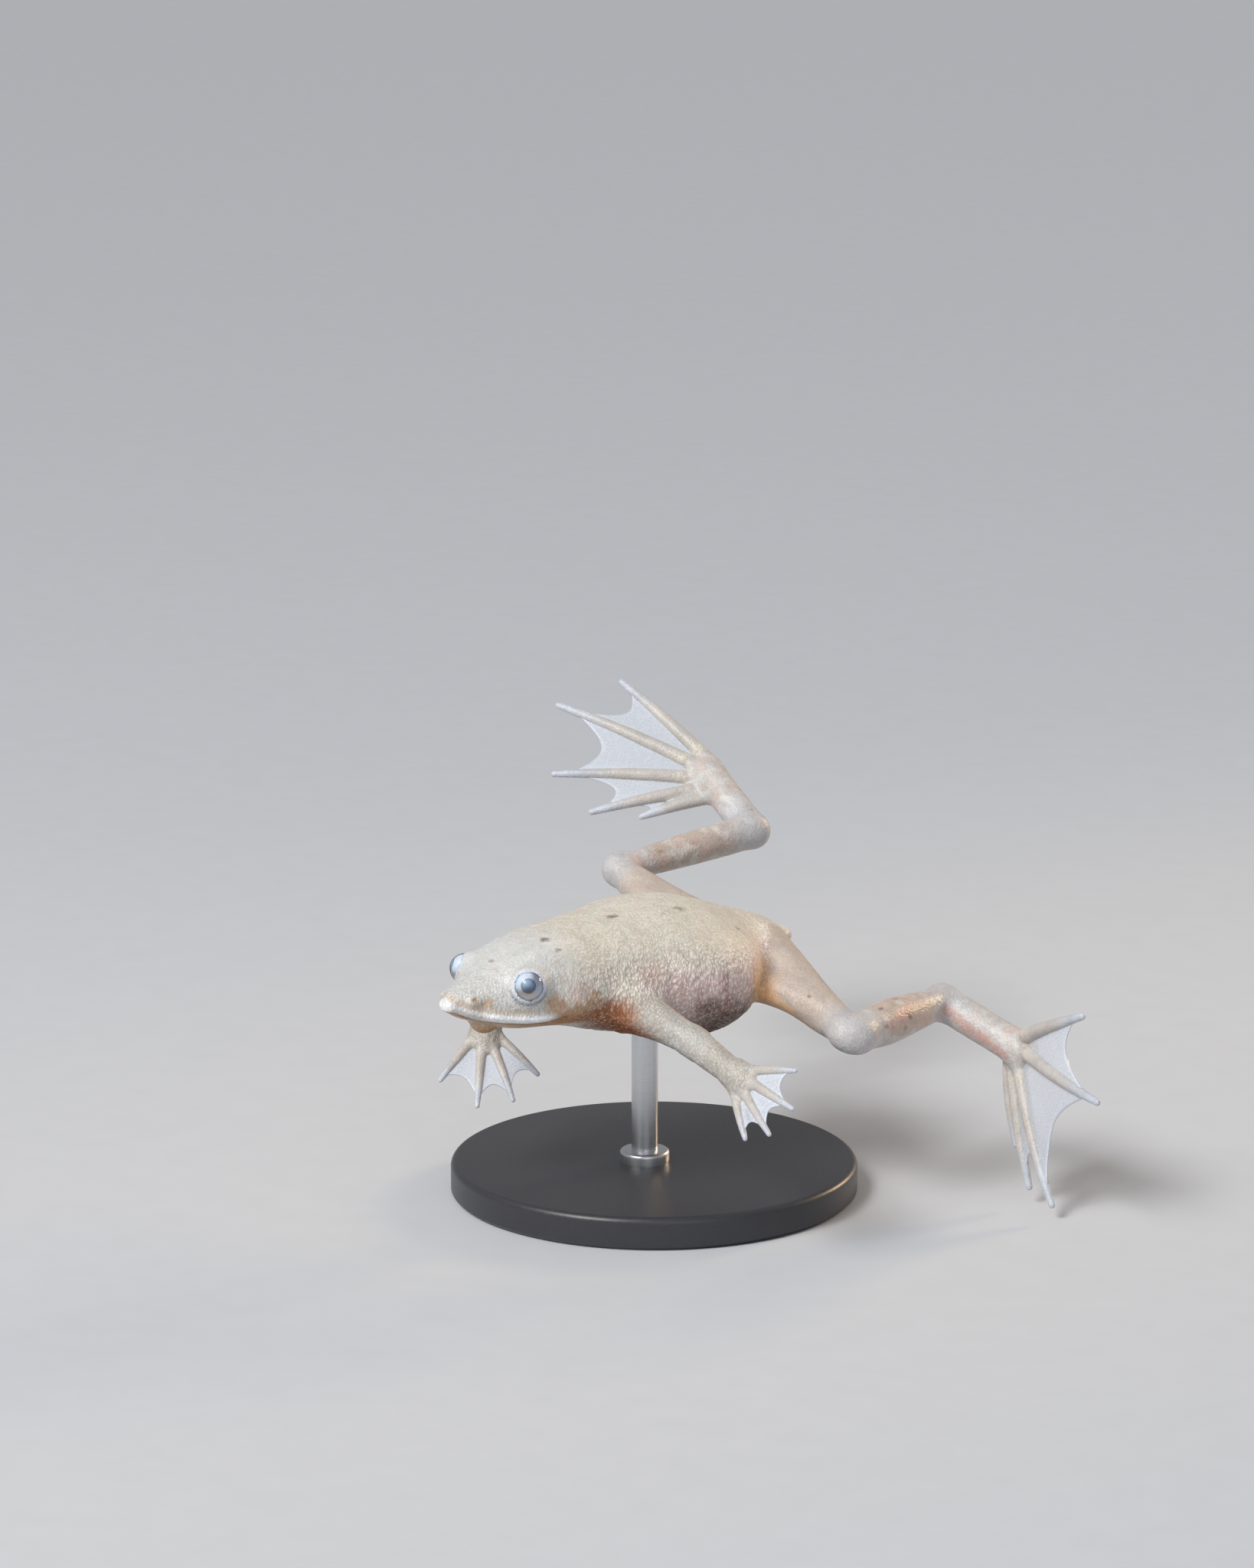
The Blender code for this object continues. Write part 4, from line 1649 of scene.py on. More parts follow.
# Tan line along the snout's lower edge, from its tip to below the nostril: partly tone, partly painted shade
# under the edge.
NOSE_LINE = ((0.3, -22.95, 2.0), (0.8, -22.7, 1.6), (1.4, -22.1, 1.3), (2.2, -20.8, 1.3))
# Orange streak at the groin: partly the flesh's own colour, partly a painted glow of backlit flesh.
GROIN_LINE = (
    *((7.0, 1.9, 1.1), (7.35, 1.5, 0.4), (6.95, 2.2, -0.6)),
    *((7.0, 2.9, -1.4), (7.7, 3.2, -1.8), (8.9, 3.6, -2.4)),
)
TARSUS_LINE = (
    *((13.9, 15.45, -3.5), (14.8, 15.75, -4.25), (16.1, 16.0, -5.0)),
    *((17.5, 16.3, -5.6), (18.9, 16.5, -6.4)),
)


@dataclass
class LimbColours:
    """Colours of the legs and arms. Ranges are millimetres, and fade in from their first end."""

    leg: Tint = (191, 177, 166)
    arm: Tint = (183, 179, 171)
    root_reach: Range = (0.7, 1.2)  # on legs and on arms
    edge: Range = (0.9, 0.3)
    shank: Tint = (196, 191, 187)
    shank_edge: Range = (0.4, -0.4)
    shank_from: Range = (0.0, 0.6)
    flesh: Tint = (240, 196, 158)
    flesh_drop: Range = (0.1, 1.5)
    flesh_share: Range = (0.95, 0.35)
    # Orange along the groin fold: partly the flesh's own colour, partly a painted glow of backlit flesh that
    # also lifts the fold's shade.
    crease_tone_and_glow: Tint = (255, 202, 138)
    crease_width: float = 0.75
    crease_up: Range = (1.8, 0.3)
    crease_along: Range = (6.0, 3.5)
    crease_edge: Range = (1.0, 0.3)
    pale: Tint = (220, 218, 216)
    pale_from: Range = (0.05, 0.55)
    blush: Tint = (212, 176, 164)
    blush_from: Range = (-0.15, -0.65)
    mottle_from: Range = (-0.2, 0.4)
    mottle_noise: Rows = ((0.9, 1.0), (0.4, 0.6))
    # Paler, bluish joints: partly their own tone, partly a painted highlight on the knees.
    joint_tone_and_highlight: Tint = (191, 194, 199)
    joint_reach: Range = (3.4, 0.9)
    joint_strength: Range = (0.75, 0.25)  # on legs and on arms
    grain: Range = (0.28, 0.62)
    digit: Tint = (190, 185, 180)
    digit_edge: Range = (0.30, 0.05)
    digit_from: Range = (0.05, 0.3)
    tip: Tint = (190, 197, 208)
    tip_from: Range = (0.55, 1.0)

    def paint(self, body: FrogBody, points: Array, tint: Array, granules: Array) -> tuple[Array, Array]:
        """Adds the limbs' colours.

        Args:
            body: the shapes that carry them.
            points: the skin's points in millimetres.
            tint: the colours so far.
            granules: the strengths of granules so far.

        Returns:
            The new colours and strengths.
        """
        near = body.nearness(points)
        for limb in body.limbs.values():
            leg = limb.name.startswith("leg")
            kind = 0 if leg else 1
            palm = near[f"{limb.name}_palm"]
            bones = [near[f"{limb.name}_{k}"] for k in range(len(limb.bones))]
            folds = [near[f"{limb.name}_extra_{k}"] for k in range(len(limb.extras))]
            nearest = np.minimum.reduce([*bones, *folds, palm])
            within = near["trunk"] - nearest
            own = ramp(0.0, self.root_reach[kind], within) * ramp(*self.edge, nearest)
            tint = over(tint, self.leg if leg else self.arm, own)
            if leg:
                tint = self.paint_leg(limb, points, tint, own, [*bones, palm])
                # Groin fold: own orange with a painted glow.
                crease_tone_and_glow = np.exp(-((within / self.crease_width) ** 2)) * ramp(*self.crease_up, points[:, 2])
                crease_tone_and_glow *= ramp(*self.crease_along, points[:, 1])
                tint = over(tint, self.crease_tone_and_glow, crease_tone_and_glow * ramp(*self.crease_edge, near["trunk"]) * 0.8)
                tint = self.mottled(points, tint, own, bones)
            granules = granules * (1 - own) + own * self.grain[kind]
            # Joints: own pale tone with a painted highlight.
            for bone in limb.bones[:-1]:
                radius = bone.width(np.ones(1))[0][0]
                far, close = self.joint_reach
                cover = ramp(radius * far, radius * close, length(points - bone.end))
                tint = over(tint, self.joint_tone_and_highlight, cover * self.joint_strength[kind])
            for k, digit in enumerate(limb.paddle.fan):
                share = share_along(points, digit.start, digit.tip)
                cover = ramp(*self.digit_edge, near[f"{limb.name}_digit_{k}"]) * ramp(*self.digit_from, share)
                tint = over(tint, self.digit, cover)
                tint = over(tint, self.tip, cover * ramp(*self.tip_from, share))
                granules = granules * (1 - cover * 0.8)
        return tint, granules

    def paint_leg(self, limb: Limb, points: Array, tint: Array, own: Array, near: list[Array]) -> Array:
        """Adds the paler lower leg and the warmer flesh under the thigh.

        Args:
            limb: the leg.
            points: the skin's points in millimetres.
            tint: the colours so far.
            own: how far each point belongs to the leg.
            near: distance of each point from the thigh, shin, tarsus and sole.

        Returns:
            The new colours.
        """
        thigh, shin, tarsus, sole = near
        lower = own * ramp(*self.shank_edge, np.minimum(tarsus, sole) - thigh)
        tint = over(tint, self.shank, lower * ramp(*self.shank_from, shin - tarsus))
        bone = limb.bones[0]
        share = share_along(points, bone.start, bone.end)
        drop = bone.start[2] + share * (bone.end - bone.start)[2] - points[:, 2]
        beneath = ramp(*self.flesh_drop, drop) * ramp(*self.flesh_share, share)
        return over(tint, self.flesh, own * beneath * 0.75)

    def mottled(self, points: Array, tint: Array, own: Array, bones: list[Array]) -> Array:
        """Adds pale and reddish clouds below the knee.

        Args:
            points: the skin's points in millimetres.
            tint: the colours so far.
            own: how far each point belongs to the leg.
            bones: distance of each point from the thigh, shin and tarsus.

        Returns:
            The new colours.
        """
        mottle = clouds(points, self.mottle_noise, 71)
        below = own * ramp(*self.mottle_from, bones[0] - np.minimum.reduce(bones[1:]))
        tint = over(tint, self.pale, below * ramp(*self.pale_from, mottle) * 0.45)
        return over(tint, self.blush, below * ramp(*self.blush_from, mottle) * 0.36)


@dataclass
class FaceColours:
    """Colours of lids, lips, mouth and nostrils. Ranges are millimetres, and fade in from their first end."""

    lid: Tint = (216, 220, 230)
    lid_strength: float = 0.55
    lid_spread: Range = (1.42, 1.26)
    lid_ahead: Range = (-0.9, -0.3)
    lid_back: Tint = (206, 208, 232)
    lid_back_along: Range = (-0.2, 0.9)
    # Grey-blue line round the lid: a line of its own above, painted darker below as the shade under the lid.
    lid_line: Tint = (130, 134, 150)
    lid_line_at: float = 1.36
    lid_line_edge: Range = (0.16, 0.02)
    lid_line_shade_up: Range = (0.3, -0.8)
    lid_line_and_shade_strength: Range = (0.12, 0.60)
    dots_reach: Range = (2.9, 1.6)
    dots_up: Range = (0.6, -0.6)
    nostril: Tint = (162, 130, 98)
    nostril_size: Triple = (0.36, 0.5, 0.4)
    nostril_out: float = 0.4
    nostril_edge: Range = (1.0, 0.45)
    # Lower jaw under the mouth: brown-tan, partly its own tone, partly painted shade on its downward face.
    jaw: Tint = (186, 146, 100)
    jaw_lift: Range = (0.05, -0.15)
    jaw_along: Range = (-13.8, -15.4)
    jaw_up: Range = (-2.4, -1.7)
    above_lip: Tint = (208, 188, 164)
    above_lip_from: Range = (0.55, 0.80)
    above_lip_to: Range = (1.35, 0.95)
    above_lip_back: Range = (-16.8, -18.4)
    above_lip_front: Range = (-22.4, -21.4)
    lip: Tint = (252, 253, 255)
    lip_top: Range = (0.80, 0.52)
    lip_bottom: Range = (0.0, 0.14)
    lip_back: Range = (-15.8, -17.2)
    lip_front: Range = (-20.6, -21.7)
    groove: Tint = (150, 106, 66)
    groove_edge: Range = (0.24, 0.06)

    def paint(self, body: FrogBody, points: Array, tint: Array) -> tuple[Array, Array]:
        """Adds lids, nostrils, lips, the mouth line and the dots under the eyes.

        Args:
            body: the shapes that carry them.
            points: the skin's points in millimetres.
            tint: the colours so far.

        Returns:
            The new colours, and a strength of dark dots for each point.
        """
        dots = np.zeros(len(points))
        head = np.flatnonzero(points[:, 1] < body.head_back)
        spots, part = points[head], tint[head]
        for side in Side:
            part, dots[head] = self.paint_side(body, side, spots, part, dots[head])
        y = spots[:, 1]
        lift = body.face.above_mouth(spots)
        # Lower jaw: own tone with painted shade.
        jaw = ramp(*self.jaw_lift, lift) * ramp(*self.jaw_along, y) * ramp(*self.jaw_up, spots[:, 2])
        part = over(part, self.jaw, jaw * 0.75)
        above = ramp(*self.above_lip_from, lift) * ramp(*self.above_lip_to, lift)
        above *= ramp(*self.above_lip_back, y) * ramp(*self.above_lip_front, y)
        part = over(part, self.above_lip, above * 0.5)
        lip = ramp(*self.lip_top, lift) * ramp(*self.lip_bottom, lift) * ramp(*self.lip_back, y)
        part = over(part, self.lip, lip * (1 - 0.85 * ramp(*self.lip_front, y)))
        off_mouth = distance_to_line(spots, body.mouth)
        tint[head] = over(part, self.groove, ramp(*self.groove_edge, off_mouth) * 0.9)
        return tint, dots

    def paint_side(
        self, body: FrogBody, side: Side, spots: Array, part: Array, dots: Array
    ) -> tuple[Array, Array]:
        """Adds one eye's lids, the dots under it, and one nostril.

        Args:
            body: the shapes that carry them.
            side: which side of the head.
            spots: the head's points in millimetres.
            part: their colours so far.
            dots: their strengths of dark dots so far.

        Returns:
            The new colours and strengths.
        """
        gaze = body.eyes.gaze(side)
        offset = spots - body.eyes.at(side)
        ahead = offset @ gaze
        spread = length(offset - ahead[:, None] * gaze)
        rim = ramp(*self.lid_ahead, ahead)
        ring = ramp(*self.lid_spread, spread) * rim
        part = over(part, self.lid, ring * self.lid_strength)
        part = over(part, self.lid_back, ring * ramp(*self.lid_back_along, offset[:, 1]) * 0.6)
        # Lid line, darker below: painted shade under the lid.
        line = ramp(*self.lid_line_edge, np.abs(spread - self.lid_line_at)) * rim
        least, more = self.lid_line_and_shade_strength
        part = over(part, self.lid_line, line * (least + more * ramp(*self.lid_line_shade_up, offset[:, 2])))
        below = ramp(*self.dots_reach, length(offset)) * ramp(*self.dots_up, offset[:, 2])
        hollow = spots - mirrored(body.face.nostril, side) - body.face.outward(side) * self.nostril_out
        hole = length(hollow / np.array(self.nostril_size))
        part = over(part, self.nostril, ramp(*self.nostril_edge, hole) * 0.75)
        return part, np.maximum(dots, below)


@dataclass
class SkinColours:
    """Where the skin changes colour. Ranges are millimetres, and fade in from their first end."""

    edge_noise: Rows = ((1.4, 0.5), (0.6, 0.4))
    shade_noise: Rows = ((1.7, 0.05), (0.6, 0.06))
    back: Tint = (216, 211, 198)
    crown: Tint = (207, 208, 206)
    crown_along: Range = (-11.0, -17.0)
    crown_up: Range = (-1.0, 0.2)
    low_along: Range = (9.5, 6.5)
    low_up: Range = (4.4, 1.6)
    flank: Tint = (240, 232, 220)
    flank_along: Range = (-18.0, -13.0)
    belly: Tint = (236, 214, 210)
    belly_along: Range = (-9.5, -6.0)
    belly_up: Range = (3.0, 0.6)
    # Dark mauve-brown towards the underside, deepening lower down: partly the belly's own tone, partly
    # painted shade under the body.
    under: Tint = (84, 54, 42)
    under_along: Range = (-7.0, -1.0)
    under_up: Range = (0.3, -2.2)
    head_along: Range = (-12.5, -15.0)
    head_grain: float = 0.45
    stray_size: float = 2.4
    stray_tint: Tint = (128, 112, 98)
    marks: tuple[Patch | Streak, ...] = (
        # Orange-brown behind the jaw's corner, round the armpit and low on the chest: partly a warm tone,
        # partly painted shade on these undersides.
        *both(Patch((4.0, -14.3, -0.7), (2.0, 2.6, 0.95), (176, 118, 70), 0.9)),
        *both(Patch((4.8, -11.2, -0.7), (2.5, 2.5, 1.7), (164, 97, 48), 0.95)),
        *both(Patch((4.8, -10.4, -2.4), (3.6, 3.2, 1.4), (138, 76, 32), 0.97)),
        *both(Streak(CHEEK_LINE, 0.80, (190, 146, 104), 0.78, 0.6)),
        *both(Patch((4.9, -14.0, 1.5), (1.0, 1.3, 0.8), (218, 176, 166), 0.45)),
        *both(Patch((5.7, -7.9, 2.0), (1.0, 1.4, 1.1), (220, 184, 176), 0.45)),
        # Throat under the chin: orange-brown tone with painted shade.
        Patch((0.0, -19.3, -1.4), (1.5, 1.7, 0.9), (126, 78, 38), 0.95),
        # Snout line: tan tone with painted shade.
        *both(Streak(NOSE_LINE, 0.30, (196, 166, 134), 0.52)),
        *both(Patch((2.2, -20.9, 1.55), (0.6, 0.6, 0.35), (202, 166, 128), 0.6)),
        Patch((0.0, -23.3, 1.25), (0.95, 0.6, 0.62), (240, 243, 242), 1.0),
        Patch((0.0, 11.8, 0.6), (1.2, 1.0, 0.9), (228, 226, 218), 0.85),
        # Peach by the thigh's root: partly own colour, partly a painted glow of backlit flesh.
        Patch((6.8, 2.4, -0.6), (1.5, 1.9, 2.1), (234, 192, 150), 0.55),
        Patch((-6.8, 2.4, -0.6), (1.5, 1.9, 2.1), (226, 186, 150), 0.5),
        Streak(((7.6, -2.0, 0.9), (7.5, -1.6, -0.4), (7.1, -1.5, -1.6)), 0.45, (158, 112, 106), 0.55, 0.6),
        Streak(((7.3, -4.2, 0.2), (6.9, -3.9, -0.9), (6.5, -3.6, -1.8)), 0.45, (156, 114, 110), 0.4, 0.6),
        Patch((7.1, -3.0, -1.2), (0.9, 1.3, 0.9), (104, 72, 58), 0.7),
        # Groin streak: own orange with a painted glow.
        Streak(GROIN_LINE, 0.60, (255, 200, 136), 0.50, 0.2),
        Streak(TARSUS_LINE, 0.50, (196, 142, 130), 0.55, 0.4),
        Streak(((15.7, 7.4, -2.9), (15.2, 9.4, -2.5), (14.4, 11.1, -2.1)), 0.55, (204, 160, 150), 0.5, 0.5),
        Patch((-13.4, 9.4, 4.1), (1.1, 1.0, 0.8), (208, 166, 156), 0.5),
    )
    flecks: tuple[Patch, ...] = (
        fleck((0.1, -18.7, 3.9), 0.26, (142, 134, 124), 0.7),
        fleck((1.6, -14.8, 5.0), 0.38, (112, 104, 92), 0.85),
        fleck((3.05, -14.7, 4.5), 0.24, (132, 122, 110), 0.7),
        fleck((1.4, -7.7, 5.55), 0.36, (104, 100, 90), 0.9),
        fleck((3.0, -2.3, 5.5), 0.44, (134, 124, 110), 0.75),
        fleck((5.0, 2.1, 3.7), 0.30, (112, 102, 92), 0.8),
        fleck((-13.4, 11.3, 4.75), 0.36, (158, 120, 86), 0.7),
        fleck((-12.6, 14.4, 5.05), 0.30, (186, 146, 118), 0.55),
        fleck((-12.1, 16.75, 5.05), 0.26, (172, 142, 122), 0.5),
        fleck((10.6, 3.8, -0.8), 0.28, (84, 56, 44), 0.95),
        fleck((15.3, 10.2, -2.8), 0.32, (118, 72, 60), 0.85),
        fleck((15.8, 7.15, -2.9), 0.26, (142, 112, 102), 0.65),
        fleck((15.5, 9.5, -3.6), 0.28, (142, 100, 92), 0.65),
        fleck((14.7, 7.4, -1.7), 0.24, (112, 96, 90), 0.75),
        fleck((13.6, 10.0, -1.6), 0.28, (122, 108, 100), 0.7),
    )

    limbs: LimbColours = field(default_factory=LimbColours)
    face: FaceColours = field(default_factory=FaceColours)

    def paint(self, body: FrogBody, points: Array) -> tuple[Array, Array, Array]:
        """Works out the skin's colours.

        Args:
            body: the shapes that carry them.
            points: the skin's points in millimetres.

        Returns:
            A colour, a strength of granules and a strength of dark dots for each point.
        """
        y, z = points[:, 1], points[:, 2]
        noise = clouds(points, self.edge_noise, 5)
        tint = np.tile(from_screen(self.back), (len(points), 1))
        tint = over(tint, self.crown, ramp(*self.crown_along, y + noise) * ramp(*self.crown_up, z) * 0.9)
        low = ramp(*self.low_up, z + noise * 0.8) * ramp(*self.low_along, y)
        flank = low * ramp(*self.belly_along, y)
        under = flank * ramp(*self.under_up, z + noise * 0.9) * ramp(*self.under_along, y)
        tint = over(tint, self.flank, low * ramp(*self.flank_along, y) * 0.8)
        tint = over(tint, self.belly, flank * ramp(*self.belly_up, z + noise))
        # Lays on the underside's dark tone, which is partly painted shade.
        tint = over(tint, self.under, under * 0.9)
        granules = (0.55 + 0.45 * low) * (1 - self.head_grain * ramp(*self.head_along, y))
        tint, granules = self.limbs.paint(body, points, tint, granules)
        for mark in self.marks:
            tint = over(tint, mark.tint, mark.cover(points))
        tint *= clouds(points, self.shade_noise, 7, 1.0)[:, None]
        for mark in self.flecks:
            tint = over(tint, mark.tint, mark.cover(points))
        stray = ramp(0.90, 0.96, granule_field(points, self.stray_size, 61)) * ramp(0.0, 2.0, z)
        tint = over(tint, self.stray_tint, stray * 0.6)
        tint, dots = self.face.paint(body, points, tint)
        return tint, granules, dots


@dataclass
class FrogSkin:
    """The skin of the whole animal in one piece."""

    mesher: SkinMesher = field(default_factory=SkinMesher)
    finish: SkinFinish = field(default_factory=SkinFinish)
    colours: SkinColours = field(default_factory=SkinColours)
    wart_size: float = 0.42
    wart_height: float = 0.058
    swell_size: float = 2.2
    swell_height: float = 0.05
    face_along: Range = (-13.0, -15.0)
    face_smoothness: float = 0.75

    def textured(self, body: FrogBody, points: Array, granules: Array) -> Array:
        """Raises the larger warts and soft swells along the skin's normals.

        Args:
            body: the field whose slope gives the normals.
            points: the skin's points in millimetres.
            granules: how warty the skin is at each.

        Returns:
            The raised points.
        """
        slope = body.gradient(points)
        normal = slope / np.maximum(length(slope), 1e-6)[:, None]
        warts = granule_field(points, self.wart_size, 11) * self.wart_height * granules
        swell = cloud(points, self.swell_size, 21) * self.swell_height * granules
        face = ramp(*self.face_along, points[:, 1])
        return points + normal * ((warts + swell) * (1 - self.face_smoothness * face))[:, None]

    def build(self, body: FrogBody, nodes: list[str]) -> Object:
        """Makes the skin.

        Args:
            body: the field.
            nodes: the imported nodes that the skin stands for.

        Returns:
            The skin's object.
        """
        points, quads = self.mesher.surface(body)
        tint, granules, dots = self.colours.paint(body, points)
        points = self.textured(body, points, granules)
        skin = make_object("frog_skin", to_frame(points), quads)
        set_colours(skin, "tint", tint)
        set_values(skin, "granules", granules)
        set_values(skin, "dots", dots)
        skin.data.materials.append(self.finish.material())
        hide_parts(*nodes)
        return skin


class WebLook(Enum):
    """How opaque webs are, in their middle and beside the digits."""

    CLEAR = (0.28, 0.55)
    FROSTED = (0.42, 0.72)


@dataclass
class WebSet:
    """The webs of one foot or hand, as thin sheets with a closed rim."""

    paddle: Paddle
    finish: Material
    look: WebLook
    half_thickness: float = 0.05
    across_steps: int = 18
    along_steps: int = 34
    slack: float = 0.0075
    ripple: float = 0.035
    ripple_size: float = 1.1
    digit_edge: Range = (0.9, 0.25)
    root_edge: Range = (0.35, 0.05)
    rim_edge: Range = (0.955, 1.0)
    rim_opacity: float = 0.35

    def sheet(self, first: Digit, second: Digit, number: int) -> tuple[Array, Array]:
        """One web between two digits.

        Args:
            first: the inner digit.
            second: the outer digit.
            number: which web of the paddle it is.

        Returns:
            Its middle points and their opacity, row by row from the palm outwards.
        """
        across = np.linspace(0, 1, self.across_steps)
        web_reach, notch = self.paddle.web
        far = web_reach * (1 - notch * np.sin(np.pi * across) ** 0.7)
        along, across = np.meshgrid(np.linspace(0, 1, self.along_steps), across, indexing="ij")
        reach = (along * far[None, :]).ravel()
        along, across = along.ravel(), across.ravel()
        a, b = first.middle(reach), second.middle(reach)
        points = a * (1 - across[:, None]) + b * across[:, None]
        width = length(b - a)
        bend = np.sin(np.pi * across)
        wave = cloud(points, self.ripple_size, 31 + number) * self.ripple * bend
        points = points + self.paddle.axes[2] * (wave - self.slack * width * bend)[:, None]
        clear, frosted = self.look.value
        near_digit = np.minimum(across, 1 - across) * width
        cover = clear + (frosted - clear) * ramp(*self.digit_edge, near_digit)
        cover = np.maximum(cover, frosted * ramp(*self.root_edge, along))
        return points, cover + ramp(*self.rim_edge, along) * self.rim_opacity

    def build(self) -> Object:
        """Makes all webs of the paddle as one piece.

        Returns:
            The webs' object.
        """
        points, faces, opacity = [], [], []
        start, wide = 0, self.across_steps
        half = self.paddle.axes[2] * self.half_thickness
        for number, (first, second) in enumerate(zip(self.paddle.fan, self.paddle.fan[1:])):
            middle, cover = self.sheet(first, second, number)
            count = len(middle)
            points += [middle + half, middle - half]
            opacity += [cover, cover]
            for i in range(self.along_steps - 1):
                for j in range(wide - 1):
                    k = start + i * wide + j
                    faces.append((k, k + 1, k + wide + 1, k + wide))
                    k += count
                    faces.append((k + wide, k + wide + 1, k + 1, k))
            last = start + (self.along_steps - 1) * wide
            for j in range(wide - 1):
                k = last + j
                faces.append((k, k + 1, k + count + 1, k + count))
            start += 2 * count
        web = make_object(f"web_{self.paddle.name}", to_frame(np.concatenate(points)), faces)
        set_values(web, "opacity", np.concatenate(opacity))
        web.data.materials.append(self.finish)
        return web


@dataclass
class Eye:
    """One eyeball with its painted iris and pupil, under a clear cornea."""

    sizes: EyeSizes
    side: Side
    pupil: float = 0.57
    ball_reach: float = 178.0  # degrees
    cornea_reach: float = 88.0
    rings: int = 72
    spokes: int = 96
    wobble: Range = (0.12, 0.02)  # size and depth of the colours' uneven edges
    # Pale blue-white iris: its own colour, and on its upper half, which the warmer lower tint leaves alone, a
    # painted reflection of the softbox.
    iris_and_reflection_tint: Tint = (200, 214, 227)
    iris_low: Tint = (234, 224, 214)
    iris_low_up: Range = (0.1, -0.7)
    # Lavender-white rim of the iris: its own colour all round, and stronger towards the back as painted fill
    # light that lifts the shade there.
    outer_tone_and_fill_tint: Tint = (224, 227, 245)
    outer_edge: Range = (0.72, 1.0)
    outer_fill_along: Range = (-0.4, 0.5)
    outer_tone_and_fill_strength: Range = (0.25, 0.75)
    inner_tint: Tint = (230, 200, 176)
    inner_edge: Range = (0.22, 0.06)
    inner_up: Range = (0.1, -0.35)
    pupil_tint: Tint = (112, 125, 144)
    pupil_edge: Range = (0.07, -0.05)
    pupil_inside: Range = (0.0, -0.2)
    pupil_low: Tint = (104, 86, 76)
    pupil_low_up: Range = (-0.05, -0.42)
    # Painted highlight: the pupil's top is painted light blue.
    pupil_highlight: Tint = (152, 182, 206)
    pupil_highlight_up: Range = (-0.10, 0.42)

    def ball(self, radius: float, reach: float) -> tuple[Array, list[tuple[int, ...]], Array]:
        """A sphere, or a cap of one, whose pole looks along the gaze.

        Args:
            radius: in millimetres.
            reach: degrees from the pole to the last ring.

        Returns:
            Its points, faces and the angle of each point from the pole, in degrees.
        """
        gaze = self.sizes.gaze(self.side)
        one = unit(np.cross(gaze, (0.0, 0.0, 1.0)))
        two = np.cross(gaze, one)
        angles = np.linspace(0, reach, self.rings + 1)[1:]
        turns = np.linspace(0, math.tau, self.spokes, endpoint=False)
        a, t = np.meshgrid(np.radians(angles), turns, indexing="ij")
        ring = np.sin(a)[..., None] * (np.cos(t)[..., None] * one + np.sin(t)[..., None] * two)
        ring = (ring + np.cos(a)[..., None] * gaze).reshape(-1, 3)
        points = np.concatenate([gaze[None], ring]) * radius + self.sizes.at(self.side)
        faces: list[tuple[int, ...]] = []
        for k in range(self.spokes):
            after = (k + 1) % self.spokes
            faces.append((0, 1 + k, 1 + after))
            for i in range(self.rings - 1):
                row = 1 + i * self.spokes
                faces.append((row + k, row + self.spokes + k, row + self.spokes + after, row + after))
        return points, faces, np.concatenate([[0.0], np.repeat(angles, self.spokes)])

    def tints(self, points: Array, angle: Array) -> Array:
        """Iris and pupil colours, with a painted reflection on the iris's upper half, a painted highlight on
        the pupil's top and painted fill light at the back of the iris rim.

        Args:
            points: the eyeball's points in millimetres.
            angle: of each point from the gaze, in degrees.

        Returns:
            A colour for each point.
        """
        spread = np.sin(np.radians(np.minimum(angle, 90))) * self.sizes.radius
        size, depth = self.wobble
        ragged = spread + cloud(points, size, 41) * depth
        past_pupil = ragged - self.pupil
        offset = points - self.sizes.at(self.side)
        height = offset[:, 2]
        # Upper iris keeps the painted reflection; the lower half turns warmer.
        tint = np.tile(from_screen(self.iris_and_reflection_tint), (len(points), 1))
        tint = over(tint, self.iris_low, ramp(*self.iris_low_up, height) * 0.8)
        # Iris rim: own lavender, with painted fill towards the back.
        least, more = self.outer_tone_and_fill_strength
        strength = least + more * ramp(*self.outer_fill_along, offset[:, 1])
        tint = over(tint, self.outer_tone_and_fill_tint, ramp(*self.outer_edge, ragged) * strength)
        inner = ramp(*self.inner_edge, past_pupil) * ramp(*self.inner_up, height)
        tint = over(tint, self.inner_tint, inner * 0.75)
        tint = over(tint, self.pupil_tint, ramp(*self.pupil_edge, past_pupil))
        inside = ramp(*self.pupil_inside, past_pupil)
        tint = over(tint, self.pupil_low, inside * ramp(*self.pupil_low_up, height) * 0.7)
        # Painted highlight on the pupil's top.
        return over(tint, self.pupil_highlight, inside * ramp(*self.pupil_highlight_up, height) * 0.9)

    def build(self) -> list[Object]:
        """Makes the eyeball and its cornea.

        Returns:
            The two pieces.
        """
        points, faces, angle = self.ball(self.sizes.radius - self.sizes.cornea_wall, self.ball_reach)
        side = self.side.name.lower()
        node = f"eye_{side}"
        eyeball = make_object(node, to_frame(points), faces)
        set_colours(eyeball, "tint", self.tints(points, angle))
        eyeball.data.materials.append(EyeFinish().material())
        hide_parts(node)
        points, faces, _ = self.ball(self.sizes.radius, self.cornea_reach)
        cornea = make_object(f"cornea_{side}", to_frame(points), faces)
        cornea.data.materials.append(CorneaFinish().material())
        return [eyeball, cornea]


